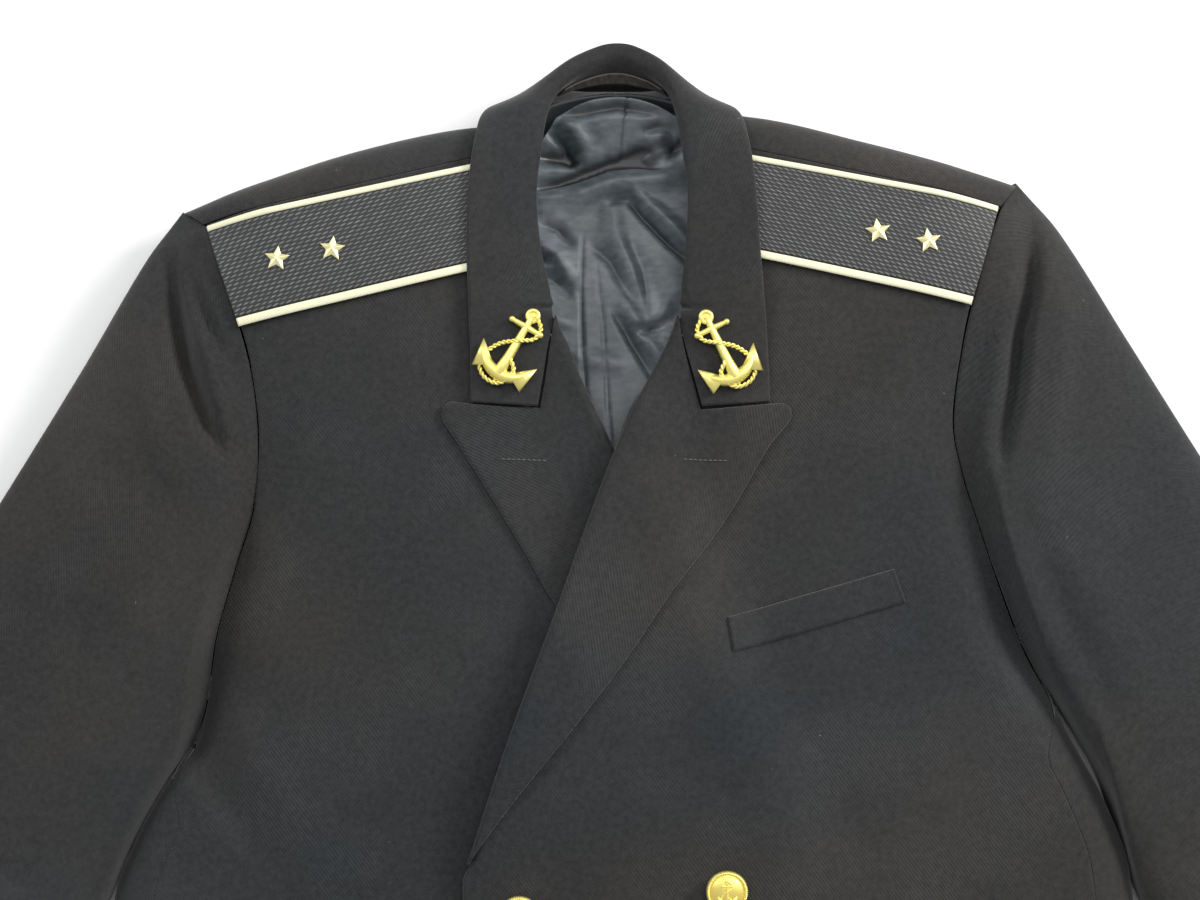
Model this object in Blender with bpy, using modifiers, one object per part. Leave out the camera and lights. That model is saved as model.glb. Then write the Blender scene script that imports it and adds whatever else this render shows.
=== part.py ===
# Naval double-breasted uniform jacket with peak lapels, laid flat on its back.
# The wearer's left is at +X, the collar at +Y, and the surface that it lies on is z = 0.
# Lengths in the tables are millimetres, measured from the point where the two lapels cross.
import math
from collections import namedtuple

import bmesh
import bpy
from mathutils import Matrix, Vector

# Driving dimensions, in millimetres
MM = 0.001
CLOTH = 2.0                  # wool with its canvas or lining
SEAM = 0.4                   # between two pieces at a seam
LAY = 3.2                    # outer face of a lapel above the front that it lies on
ROLL = 4.0                   # half the thickness of a turned lapel at its roll
HEM_Y = -593.0
SHOULDER_TURN = 30.0         # how far in from the side fold the cloth is still rounding
STRAP_THICK = 2.4
PIPING_WIDTH = 5.0
PIPING_THICK = 2.6
STAR_SIZE = 13.5
BUTTON_DIAMETER = 22.0
BUTTON_HEIGHT = 8.0
CENTRE = Vector((-3.5, -180.93, 0.0))   # middle of the laid jacket's box

RIGHT = -1                   # the wearer's right side, at -X
LEFT = 1

# Fullness of the fronts above the surface, at 120 mm either side of the middle and at the middle
Crown = namedtuple("Crown", "y right middle left")
CROWNS = [
    Crown(200, 38.0, 37.0, 38.0),
    Crown(165, 42.0, 41.0, 42.5),
    Crown(130, 44.5, 42.0, 44.5),
    Crown(100, 45.0, 42.0, 45.0),
    Crown(60, 43.0, 40.0, 43.5),
    Crown(20, 40.0, 36.5, 41.0),
    Crown(-20, 37.5, 34.0, 39.0),
    Crown(-70, 35.0, 32.0, 37.0),
    Crown(-120, 32.5, 31.0, 35.0),
    Crown(-180, 29.0, 30.0, 32.0),
    Crown(-240, 26.0, 28.0, 29.0),
    Crown(-340, 21.0, 23.0, 23.0),
    Crown(-460, 15.0, 17.0, 16.0),
    Crown(HEM_Y, 9.0, 10.0, 9.5),
]

# The body's edge on each side: the armhole seam down to the underarm, then the side fold
Edge = namedtuple("Edge", "y x z")
UNDERARM_Y = {RIGHT: -160.0, LEFT: -125.0}
UNDER_SEAM = {RIGHT: 0.17, LEFT: 0.21}     # angle between the two sleeve pieces at the head
EDGES = {
    RIGHT: [
        Edge(136, -243, 20), Edge(122, -226.5, 35), Edge(88, -214, 42), Edge(42, -200, 39),
        Edge(3, -195.5, 34), Edge(-32, -197.5, 30), Edge(-65, -207, 26), Edge(-105, -218, 20),
        Edge(-135, -222, 15), Edge(-160, -229, 11), Edge(-180, -243, 11),
        Edge(-212, -259.5, 11), Edge(-243, -269.5, 10.5), Edge(-275, -271, 10),
        Edge(-340, -264, 8.5),
        Edge(-460, -268, 6.5), Edge(HEM_Y, -276, 4.5),
    ],
    LEFT: [
        Edge(153, 223, 20), Edge(132, 211, 35), Edge(99, 199, 42), Edge(55, 188, 39),
        Edge(12, 182.5, 34), Edge(-15, 187, 31), Edge(-41, 195, 28), Edge(-73, 206, 24),
        Edge(-108, 220, 16), Edge(-125, 229, 11), Edge(-154, 243, 11),
        Edge(-193, 262.6, 11), Edge(-226, 273.5, 10.5), Edge(-262, 276, 10),
        Edge(-340, 267, 8.5),
        Edge(-460, 270, 6.5), Edge(HEM_Y, 278, 4.5),
    ],
}

# Neck seam of each front, from the shoulder seam down to the top of the gorge
Neck = namedtuple("Neck", "y x")
NECKS = {
    RIGHT: [
        Neck(163.5, -66), Neck(142, -69), Neck(125, -68), Neck(108, -63), Neck(92, -52.5),
        Neck(80, -43), Neck(72, -40),
    ],
    LEFT: [
        Neck(167.5, 63), Neck(145, 62.5), Neck(126, 62.5), Neck(108, 59), Neck(92, 50),
        Neck(80, 42), Neck(72, 38.8),
    ],
}

# Roll line of each lapel from the gorge to the break, and the front edge below it
Roll = namedtuple("Roll", "y x")
ROLLS = {
    RIGHT: [
        Roll(84, -36.2), Roll(66, -32.4), Roll(54, -27), Roll(39.5, -21.4), Roll(25, -15),
        Roll(-3, -2), Roll(-60, 20), Roll(-120, 42.5), Roll(-226, 82), Roll(-250, 83),
        Roll(HEM_Y, 83),
    ],
    LEFT: [
        Roll(84, 35.4), Roll(72, 32.3), Roll(61, 29), Roll(48, 23), Roll(23, 10),
        Roll(-4, -1.8), Roll(-47, -18), Roll(-91, -33.5), Roll(-143, -52.6), Roll(-195, -71),
        Roll(-226, -82), Roll(-250, -82), Roll(HEM_Y, -82),
    ],
}
GORGE_Y = 70.0               # where the gorge seam reaches the roll
BREAK_Y = -226.0             # where the roll ends and the front edge begins

SLEEVE_GAP = 0.7             # between a front and the sleeve beside it
SIDE_GAP = 1.5               # between a front and the side panel beside it
BACK_GAP = 1.7               # between the back and a side panel
# Shares down a front at which it is bent: close together beside the underarm
FRONT_ROWS = (0.0, 0.035, 0.07, 0.105, 0.14, 0.175, 0.21, 0.245, 0.28, 0.32, 0.355, 0.38,
              0.40, 0.42, 0.44, 0.46, 0.48, 0.505, 0.53, 0.56, 0.60, 0.66, 0.74, 0.82, 0.91, 1.0)

# Levels at which a front's inner line and its armhole or side seam face each other
Level = namedtuple("Level", "inner outer")
LEVELS = {
    RIGHT: [
        Level(163.5, 124), Level(142, 105), Level(120, 88), Level(95, 68), Level(75, 50),
        Level(50, 28), Level(20, 3), Level(-10, -22), Level(-60, -62), Level(-160, -160),
        Level(HEM_Y, HEM_Y),
    ],
    LEFT: [
        Level(167.5, 134), Level(145, 113), Level(120, 93), Level(95, 72), Level(75, 52),
        Level(50, 28), Level(20, 3), Level(-10, -20), Level(-60, -58), Level(-125, -125),
        Level(HEM_Y, HEM_Y),
    ],
}

# The back's turn over each shoulder and round the neck, from the armhole to the armhole
# turn: where it leaves the surface; top: shoulder seam or neck seam; low, high: curve handles
Turn = namedtuple("Turn", "share turn top low high")
TURNS = [
    Turn(0.00, (-225, 120, 0), (-228, 125.5, 35), (-20, 19, 0), (-19, 15, -4)),
    Turn(0.18, (-146, 140, 0), (-146, 146.1, 41), (0, 37, 0), (0, 35, -3)),
    Turn(0.34, (-74, 152, 0), (-67, 165.4, 39.5), (0, 34, 0), (0, 33, -4)),
    Turn(0.40, (-54, 156, 0), (-54, 184.5, 26.5), (0, 25, 0), (0, 9, -11)),
    Turn(0.45, (-32, 166, 0), (-34, 200.5, 15), (0, 20, 0), (0, -2, -9)),
    Turn(0.50, (0, 170, 0), (-1, 207.5, 10.5), (0, 18, 0), (0, -9, -8)),
    Turn(0.55, (30, 168, 0), (31, 201.5, 15), (0, 20, 0), (0, -2, -9)),
    Turn(0.60, (54, 158, 0), (53, 186.5, 26.5), (0, 25, 0), (0, 9, -11)),
    Turn(0.66, (74, 156, 0), (64, 169.2, 40.5), (0, 36, 0), (0, 36, -4)),
    Turn(0.82, (140, 146, 0), (140, 152.8, 42), (0, 36, 0), (0, 33, -3)),
    Turn(1.00, (208, 130, 0), (211, 135.8, 35), (18, 27, 0), (16, 22, -4)),
]

# Half of the collar from its end to the middle of the neck
# roll: turned edge; fall: outer edge; foot: where the stand is sewn on; begin: first share used
Collar = namedtuple("Collar", "roll fall foot swing drop begin")
COLLAR = [
    Collar((12.0, 18, 41.0), (81.2, 22.8, 42.5), (30, 20, 34), (0, 0, 4), 0.5, 0.4),
    Collar((20.5, 38, 42.0), (81.0, 39, 44.5), (36, 39, 35), (0, 0, 4), 0.5, 0.4),
    Collar((27.0, 54, 42.5), (80.8, 54, 46.5), (36, 55, 37), (0, 0, 4), 0.5, 0.4),
    Collar((31.6, 66, 42.5), (80.8, 66, 48.0), (36, 66, 38), (0, 0, 4), 0.5, 0.4),
    Collar((33.3, 72.6, 43.0), (80.7, 72.8, 48.5), (36, 72, 39), (0, 0, 4), 0.5, 0.5),
    Collar((34.2, 77, 43.0), (80.6, 77.5, 49.0), (37, 77, 39.5), (0, 0, 4), 0.5, 0.16),
    Collar((35.8, 84, 43.3), (80.5, 85, 49.5), (42.5, 85, 39.8), (0, 0, 4), 0.5, 0.0),
    Collar((39.5, 108, 44.0), (80.2, 110, 51.0), (57.8, 110, 41), (0, 0, 4), 0.5, 0.0),
    Collar((41.5, 138, 44.0), (79.0, 141, 51.0), (63.8, 139, 41), (0, 0, 4), 0.5, 0.0),
    Collar((38.8, 165, 42.0), (75.8, 169, 48.0), (61.0, 164, 39), (0, 0, 5), 1.0, 0.0),
    Collar((35.8, 187, 38.0), (71.2, 190.5, 33.6), (56, 181, 31), (1, 3, 6), 8.0, 0.0),
    Collar((31.5, 203, 34.0), (58.0, 203, 12.0), (46, 194.5, 22), (3, 5, 5), 11.0, 0.0),
    Collar((22.5, 217, 31.5), (36.0, 214, 1.6), (28, 206.5, 16), (4, 8, 2), 12.0, 0.0),
    Collar((10.0, 226, 30.0), (15.0, 214, 1.6), (12, 211, 13.5), (2, 9, 1), 12.0, 0.0),
    Collar((0.0, 228.5, 29.5), (0.0, 214, 1.6), (0, 212, 13.0), (0, 9, 1), 12.0, 0.0),
]

# Middle line of the collar, which leans a little as the jacket lies
Lean = namedtuple("Lean", "y x")
LEANS = [Lean(0, 1.5), Lean(40, 0.8), Lean(70, -0.5), Lean(120, -3), Lean(190, -3.5),
         Lean(212, -2.0), Lean(240, 1.5)]

# Outer edge of each lapel from its tip to the break, and its top from the roll to the tip:
# the first points of a top are the gorge seam, which the collar is sewn to
GORGE_POINTS = 5
LAPEL_TOP = {
    RIGHT: [(-33.4, 70), (-35.0, 62), (-37.2, 51.5), (-39.6, 36), (-42.4, 19.8), (-60, 20.2),
            (-80, 21.8), (-91, 23.2), (-95.5, 20.5)],
    LEFT: [(31.7, 70), (33.4, 61), (35.8, 50), (39.8, 36), (44.6, 18.6), (62, 19.8),
           (82, 21.6), (90, 22.0), (94.0, 18.5)],
}
LAPEL_EDGE = {
    RIGHT: [(-95.5, 20.5), (-95.6, 14), (-88, 2), (-71, -25), (-52, -56), (-35, -85),
            (0, -130), (60, -200), (78, -219)],
    LEFT: [(94.0, 18.5), (93.2, 13), (82, -1), (58, -41), (27, -83), (2, -119.5), (-33, -164.5),
           (-56, -191), (-75.5, -212.5)],
}

# Long folds of each sleeve from its head to its cuff: outer one, inner one, and its fullness
Sleeve = namedtuple("Sleeve", "outer inner crown outer_mid inner_mid")
SLEEVE_FOLDS = {
    RIGHT: [
        Sleeve((-243, 136), (-229, -160), 43, 20, 11),
        Sleeve((-262, 108), (-240, -176), 46, 20, 12),
        Sleeve((-296, 46), (-260, -213), 42, 18, 12),
        Sleeve((-340, -30), (-280, -263), 36, 15, 12),
        Sleeve((-414, -158), (-328, -345), 28, 12, 11),
        Sleeve((-487, -284), (-379, -414), 20, 9, 9),
        Sleeve((-553, -400), (-426, -476), 14, 7, 7),
    ],
    LEFT: [
        Sleeve((223, 153), (229, -125), 43, 20, 11),
        Sleeve((246, 124), (244, -150), 46, 20, 12),
        Sleeve((282, 63), (264.5, -190), 42, 18, 12),
        Sleeve((324, -8), (279.5, -246), 36, 15, 12),
        Sleeve((402, -138), (325, -328), 28, 12, 11),
        Sleeve((477, -264), (378, -397), 20, 9, 9),
        Sleeve((546, -380), (419, -456), 14, 7, 7),
    ],
}

# Soft creases of the sleeves: (along, across) shares at both ends, depth and half width
Crease = namedtuple("Crease", "start end depth width")
CREASES = {
    RIGHT: [
        Crease((0.03, 0.10), (0.13, 0.62), 4.5, 11.0),
        Crease((0.33, 0.80), (0.42, 0.20), 3.0, 13.0),
        Crease((0.52, 0.85), (0.60, 0.25), 2.5, 14.0),
        Crease((0.46, 0.30), (0.50, 0.75), -2.0, 14.0),
    ],
    LEFT: [
        Crease((0.05, 0.12), (0.10, 0.66), 5.0, 12.0),
        Crease((0.34, 0.85), (0.44, 0.25), 3.0, 13.0),
        Crease((0.54, 0.80), (0.60, 0.30), 2.5, 14.0),
        Crease((0.47, 0.35), (0.51, 0.80), -2.0, 14.0),
    ],
}

# Wrinkles of the back lining in the neck opening: ends, height and half width
Wrinkle = namedtuple("Wrinkle", "start end height width")
WRINKLES = [
    Wrinkle((-44, 150), (40, 168), 3.5, 9.0),
    Wrinkle((-42, 128), (24, 140), -3.0, 8.0),
    Wrinkle((5, 142), (38, 108), 3.5, 7.0),
    Wrinkle((-30, 96), (28, 84), 2.5, 8.0),
    Wrinkle((2, 72), (18, 40), 3.0, 6.0),
    Wrinkle((-12, 124), (-8, 20), 2.0, 5.0),
]

# Corners of each shoulder strap: neck end then shoulder end, back edge then front edge
STRAPS = {
    RIGHT: ((-69, 158.6), (-227.3, 122.6), (-69, 97.2), (-206.6, 63.7)),
    LEFT: ((64, 163.2), (210.6, 134.0), (65, 104.2), (192.6, 76.0)),
}
STARS = {RIGHT: ((-186, 101), (-156, 106.5)), LEFT: ((142, 116.5), (169.5, 111))}
ANCHORS = {RIGHT: ((-46, 69.2), (-65.4, 36.2)), LEFT: ((48.5, 66.4), (62.9, 36.4))}
WELT = ((58.3, -93.8), (148.1, -67.8), (61.3, -112.6), (154.1, -85.7))
BUTTON_COLUMNS = (56.5, -52.0)
BUTTON_ROWS = (-237.0, -337.0, -437.0)
BUTTON_DROP = 13.0           # the inner column lies this much lower, as the front is turned

# Colour, roughness and metallic value of each finish
WOOL = ("black_wool", (0.035, 0.036, 0.040), 0.9, 0.0)
LINING = ("lining_satin", (0.09, 0.11, 0.12), 0.4, 0.0)
TAPE = ("neck_tape", (0.06, 0.05, 0.045), 0.5, 0.0)
GALLOON = ("strap_galloon", (0.06, 0.06, 0.06), 0.6, 0.0)
PIPING = ("cream_piping", (0.85, 0.80, 0.55), 0.8, 0.0)
GILT = ("gilt_metal", (0.95, 0.72, 0.22), 0.3, 1.0)


# Curves and tables

def smooth(t):
    t = min(max(t, 0.0), 1.0)
    return t * t * (3.0 - 2.0 * t)


def mix(a, b, t):
    return a + (b - a) * t


def track(rows, key, value):
    """A smooth function through the rows of a table that never swings past them."""
    points = sorted((getattr(row, key), getattr(row, value)) for row in rows)
    xs = [p[0] for p in points]
    ys = [p[1] for p in points]
    steps = [(ys[i + 1] - ys[i]) / (xs[i + 1] - xs[i]) for i in range(len(xs) - 1)]
    slopes = [steps[0]]
    for before, after in zip(steps, steps[1:]):
        slopes.append(0.0 if before * after <= 0 else 2 * before * after / (before + after))
    slopes.append(steps[-1])

    def at(x):
        x = min(max(x, xs[0]), xs[-1])
        i = 0
        while i < len(xs) - 2 and x > xs[i + 1]:
            i += 1
        span = xs[i + 1] - xs[i]
        t = (x - xs[i]) / span
        a = (1 + 2 * t) * (1 - t) ** 2
        b = t * (1 - t) ** 2
        c = t * t * (3 - 2 * t)
        d = t * t * (t - 1)
        return a * ys[i] + b * span * slopes[i] + c * ys[i + 1] + d * span * slopes[i + 1]

    return at


def curve(points, shares=None):
    """A smooth curve through points, read by its share of the length or by given shares."""
    points = [Vector(p) for p in points]
    if shares is None:
        shares = [0.0]
        for a, b in zip(points, points[1:]):
            shares.append(shares[-1] + (b - a).length)
        shares = [s / shares[-1] for s in shares]
    slopes = []
    for i in range(len(points)):
        low = max(i - 1, 0)
        high = min(i + 1, len(points) - 1)
        slopes.append((points[high] - points[low]) / (shares[high] - shares[low]))

    def at(t):
        t = min(max(t, 0.0), 1.0)
        i = 0
        while i < len(points) - 2 and t > shares[i + 1]:
            i += 1
        span = shares[i + 1] - shares[i]
        k = (t - shares[i]) / span
        a = (1 + 2 * k) * (1 - k) ** 2
        b = k * (1 - k) ** 2 * span
        c = k * k * (3 - 2 * k)
        d = k * k * (k - 1) * span
        return points[i] * a + slopes[i] * b + points[i + 1] * c + slopes[i + 1] * d

    return at


def polyline(points):
    """A line with corners through points, read by its share of the length."""
    points = [Vector(p) for p in points]
    marks = [0.0]
    for a, b in zip(points, points[1:]):
        marks.append(marks[-1] + (b - a).length)

    def at(t):
        reach = min(max(t, 0.0), 1.0) * marks[-1]
        i = 0
        while i < len(points) - 2 and reach > marks[i + 1]:
            i += 1
        return points[i].lerp(points[i + 1], (reach - marks[i]) / (marks[i + 1] - marks[i]))

    return at


def bezier(a, b, c, d, t):
    s = 1.0 - t
    return a * s ** 3 + b * 3 * s * s * t + c * 3 * s * t * t + d * t ** 3


def coons(bottom, top, start, end, u, v):
    """A sheet that four boundary curves span: start and end lie at u = 0 and u = 1."""
    ruled = bottom(u) * (1 - v) + top(u) * v + start(v) * (1 - u) + end(v) * u
    low = bottom(0) * (1 - u) + bottom(1) * u
    high = top(0) * (1 - u) + top(1) * u
    return ruled - low * (1 - v) - high * v


# The laid jacket's form

CROWN = {name: track(CROWNS, "y", name) for name in ("right", "middle", "left")}
EDGE_X = {side: track(EDGES[side], "y", "x") for side in (RIGHT, LEFT)}
EDGE_Z = {side: track(EDGES[side], "y", "z") for side in (RIGHT, LEFT)}
NECK_X = {side: track(NECKS[side], "y", "x") for side in (RIGHT, LEFT)}
ROLL_X = {side: track(ROLLS[side], "y", "x") for side in (RIGHT, LEFT)}
LEAN = track(LEANS, "y", "x")


def front_top(x, y):
    """Height of the outer face of a front that lies on nothing but the back."""
    side = RIGHT if x < 0 else LEFT
    chest = CROWN["right" if x < 0 else "left"](y)
    crown = mix(CROWN["middle"](y), chest, smooth(abs(x) / 120.0))
    inward = (EDGE_X[side](y) - x) * side
    rounding = smooth((UNDERARM_Y[side] + 40.0 - y) / 60.0)
    share = min(max(inward / mix(45.0, SHOULDER_TURN, rounding), 0.0), 1.0)
    rise = (1.0 - (1.0 - share) ** 2) ** mix(1.0, 0.5, rounding)
    return EDGE_Z[side](y) + (crown - EDGE_Z[side](y)) * rise


def over_lift(x, y):
    """How far the over front is carried by the under front and its lapel."""
    inside = smooth((max(ROLL_X[RIGHT](y), 0.0) + 48.0 - x) / 48.0)
    below = smooth((58.0 - y) / 46.0)
    return inside * below * mix(10.4, 3.6, smooth((-y - 203.0) / 75.0))


def front_face(side, x, y):
    return front_top(x, y) + (over_lift(x, y) if side == LEFT else 0.0)


def seam_turn(side, y):
    """Angle round the side fold of the seam between a side panel and the front or back."""
    return math.radians(mix(10.0, 78.0, smooth((UNDERARM_Y[side] - y) / 50.0)))


def under_turn(side, y):
    """Angle round the side fold, on its underside, of the side panel's seam with the back."""
    return math.radians(mix(50.0, 87.0, smooth((UNDERARM_Y[side] - y) / 50.0)))


def below_armhole(side, y):
    """1 below the underarm, falling to 0 a little above it."""
    return smooth((UNDERARM_Y[side] + 15.0 - y) / 15.0)


def side_seam_x(side, y):
    if y >= UNDERARM_Y[side]:
        return EDGE_X[side](y)
    return EDGE_X[side](y) - side * SHOULDER_TURN * (1.0 - math.cos(seam_turn(side, y)))


# Making the pieces

def new_material(finish):
    name, colour, roughness, metallic = finish
    material = bpy.data.materials.get(name)
    if material is None:
        material = bpy.data.materials.new(name)
        material.use_nodes = True
        shader = material.node_tree.nodes["Principled BSDF"]
        shader.inputs["Base Color"].default_value = (*colour, 1.0)
        shader.inputs["Roughness"].default_value = roughness
        shader.inputs["Metallic"].default_value = metallic
    return material


def place(point):
    """A point of the jacket in millimetres, in metres from the middle of its box."""
    return (Vector(point) - CENTRE) * MM


def add(name, mesh, finish):
    """Put a mesh in the jacket as a named piece of one finish."""
    material = new_material(finish)
    if not mesh.materials:
        mesh.materials.append(material)
    piece = bpy.data.objects.new(name, mesh)
    jacket.objects.link(piece)
    piece.parent = origin
    return piece


def sheet(name, across, along, point, finish, flip=False, thick=CLOTH):
    """A wall of cloth: point(u, v) gives its outer face at each stop across and along."""
    form = bmesh.new()
    bmesh.ops.create_grid(form, x_segments=len(across) - 1, y_segments=len(along) - 1, size=0.5)
    for vertex in form.verts:
        u = across[round((vertex.co.x + 0.5) * (len(across) - 1))]
        v = along[round((vertex.co.y + 0.5) * (len(along) - 1))]
        vertex.co = place(point(u, v))
    if flip:
        bmesh.ops.reverse_faces(form, faces=form.faces)
    mesh = bpy.data.meshes.new(name)
    form.to_mesh(mesh)
    form.free()
    mesh.shade_smooth()
    piece = add(name, mesh, finish)
    wall = piece.modifiers.new("wall", "SOLIDIFY")
    wall.thickness = thick * MM
    wall.offset = -1.0
    return piece


def stops(count, power=1.0):
    return [(i / count) ** power for i in range(count + 1)]


# Fronts, back and side panels

def make_front(side, name):
    shares = level_shares(LEVELS[side])
    inner_y = curve([(row.inner, 0, 0) for row in LEVELS[side]], shares)
    outer_y = curve([(row.outer, 0, 0) for row in LEVELS[side]], shares)

    def point(u, v):
        yi = inner_y(v).x
        yo = outer_y(v).x
        xi = front_inner_x(side, yi)
        gap = mix(SLEEVE_GAP, SIDE_GAP, smooth((UNDERARM_Y[side] + 10.0 - yo) / 30.0))
        xo = side_seam_x(side, yo) - side * gap
        x = mix(xi, xo, u)
        y = mix(yi, yo, u)
        return Vector((x, y, front_face(side, x, y)))

    return sheet(name, stops(13), FRONT_ROWS, point, WOOL, flip=side == LEFT)


def front_inner_x(side, y):
    """Cut edge of a front: neck seam, turned edge under the lapel's roll, then front edge."""
    if y > GORGE_Y + 1.0:
        return NECK_X[side](y) + side * SEAM
    under_roll = smooth((y - BREAK_Y) / 8.0)
    slope = (ROLL_X[side](y + 1.0) - ROLL_X[side](y - 1.0)) / 2.0
    return ROLL_X[side](y) + side * under_roll * (ROLL + 2.2) * math.hypot(1.0, slope)


def level_shares(rows):
    """Shares of the inner line's length at which the levels lie."""
    reach = [abs(row.inner - rows[0].inner) for row in rows]
    return [r / reach[-1] for r in reach]


def back_point(u, v):
    """The back's outer face: v from 0 to 1 on the surface, from 1 to 2 over the shoulder."""
    shares = [row.share for row in TURNS]
    turn = curve([row.turn for row in TURNS], shares)
    if v > 1.0:
        top = curve([row.top for row in TURNS], shares)(u)
        top.z = mix(top.z, front_top(top.x, top.y) - 0.2, smooth((abs(top.x) - 68.0) / 14.0))
        low = curve([row.low for row in TURNS], shares)(u)
        high = curve([row.high for row in TURNS], shares)(u)
        foot = turn(u)
        return bezier(foot, foot + low, top + high, top, v - 1.0)

    def edge(side):
        end_y = turn(0.0).y if side == RIGHT else turn(1.0).y

        def at(t):
            y = mix(HEM_Y, end_y, t)
            inset = SHOULDER_TURN * (1.0 - math.cos(under_turn(side, y)))
            x = EDGE_X[side](y) - side * (BACK_GAP + inset * below_armhole(side, y))
            return Vector((x, y, 0.0))

        return at

    hem = curve([edge(RIGHT)(0.0), edge(LEFT)(0.0)])
    flat = coons(hem, turn, edge(RIGHT), edge(LEFT), u, v)
    side = RIGHT if flat.x < 0 else LEFT
    inward = (EDGE_X[side](flat.y) - flat.x) * side
    share = min(max(inward / SHOULDER_TURN, 0.0), 1.0)
    lift = EDGE_Z[side](flat.y) * (1.0 - math.sqrt(1.0 - (1.0 - share) ** 2))
    flat.z = lift * below_armhole(side, flat.y)
    return flat


def make_back():
    columns = [0.0, 0.06, 0.12, 0.18, 0.26, 0.34, 0.37, 0.40, 0.45, 0.5,
               0.55, 0.60, 0.63, 0.66, 0.74, 0.82, 0.88, 0.94, 1.0]
    heights = (HEM_Y, -500, -410, -330, -275, -235, -210, -199, -188, -176, -165, -155, -145, -135,
               -125, -115, -100, -60, -20, 20, 60, 95)
    rows = [(y - HEM_Y) / (120.0 - HEM_Y) for y in heights] + [1.0, 1.2, 1.4, 1.6, 1.8, 2.0]
    return sheet("back", columns, rows, back_point, WOOL, flip=True)


def make_side(side, name):
    top = UNDERARM_Y[side] - 2.0

    def point(u, v):
        y = mix(top, HEM_Y, v)
        turned = mix(seam_turn(side, y), -under_turn(side, y), u)
        x = EDGE_X[side](y) - side * SHOULDER_TURN * (1.0 - math.cos(turned))
        if turned > 0:
            return Vector((x, y, front_top(x, y)))
        return Vector((x, y, EDGE_Z[side](y) * (1.0 - math.sin(min(-turned, math.pi / 2)))))

    return sheet(name, stops(8), stops(14, 1.6), point, WOOL, flip=side == LEFT)


# Sleeves

def crease_depth(side, along, across):
    """How far the sleeve's upper face is sunk at a place by its creases."""
    depth = 0.0
    size = Vector((640.0, 165.0))
    here = Vector((along * size.x, across * size.y))
    for row in CREASES[side]:
        a = Vector((row.start[0] * size.x, row.start[1] * size.y))
        b = Vector((row.end[0] * size.x, row.end[1] * size.y))
        share = min(max((here - a).dot(b - a) / (b - a).length_squared, 0.0), 1.0)
        away = (here - a.lerp(b, share)).length / row.width
        depth += row.depth * math.exp(-away * away) * (0.4 + 0.6 * math.sin(math.pi * share))
    return depth


def sleeve_point(side):
    rows = SLEEVE_FOLDS[side]
    shares = [0.0, 0.05, 0.16, 0.30, 0.53, 0.77, 1.0]
    outer = curve([row.outer for row in rows], shares)
    inner = curve([row.inner for row in rows], shares)
    sizes = curve([(row.crown, row.outer_mid, row.inner_mid) for row in rows], shares)
    head = curve([(e.x, e.y) for e in EDGES[side] if e.y >= UNDERARM_Y[side]])
    head_z = curve([(e.z, 0, 0) for e in EDGES[side] if e.y >= UNDERARM_Y[side]],
                   head_shares(side))
    cuff = curve([rows[-1].outer, rows[-1].inner])

    def point(along, angle):
        across = 0.5 - 0.5 * math.cos(angle)
        plan = coons(head, cuff, outer, inner, across, along)
        size = sizes(along)
        middle = mix(size.y, size.z, across)
        swell = math.sqrt(max(1.0 - abs(2 * across - 1) ** 3, 0.0))
        near_head = smooth(along * 640.0 / 30.0)
        if math.sin(angle) >= 0:
            z = middle + (size.x - middle) * swell
            z = mix(head_z(across).x, z, near_head)
            z -= crease_depth(side, along, across) * swell * near_head
        else:
            z = max(middle * (1.0 - 1.12 * math.sqrt(max(1.0 - abs(2 * across - 1) ** 4, 0.0))), 0.0)
        shift = Vector((side * 1.2, -0.9)) * (1.0 - along)
        return Vector((plan.x + shift.x, plan.y + shift.y, z))

    return point


def head_shares(side):
    points = [Vector((e.x, e.y)) for e in EDGES[side] if e.y >= UNDERARM_Y[side]]
    marks = [0.0]
    for a, b in zip(points, points[1:]):
        marks.append(marks[-1] + (b - a).length)
    return [m / marks[-1] for m in marks]


def make_sleeve(side, upper_name, under_name):
    point = sleeve_point(side)
    past = 0.6
    wide = UNDER_SEAM[side]
    upper = [mix(-past, math.pi + past, t) for t in stops(14)]
    rows = stops(18, 1.35)

    def under_point(u, v):
        gap = mix(wide, 0.052, smooth((v - 0.3) / 0.6))
        return point(v, mix(math.pi + past + gap, 2 * math.pi - past - gap, u))

    sheet(upper_name, upper, rows, lambda u, v: point(v, u), WOOL, flip=side == RIGHT)
    sheet(under_name, stops(5), rows, under_point, WOOL, flip=side == RIGHT)


# Lapels and collar

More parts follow.
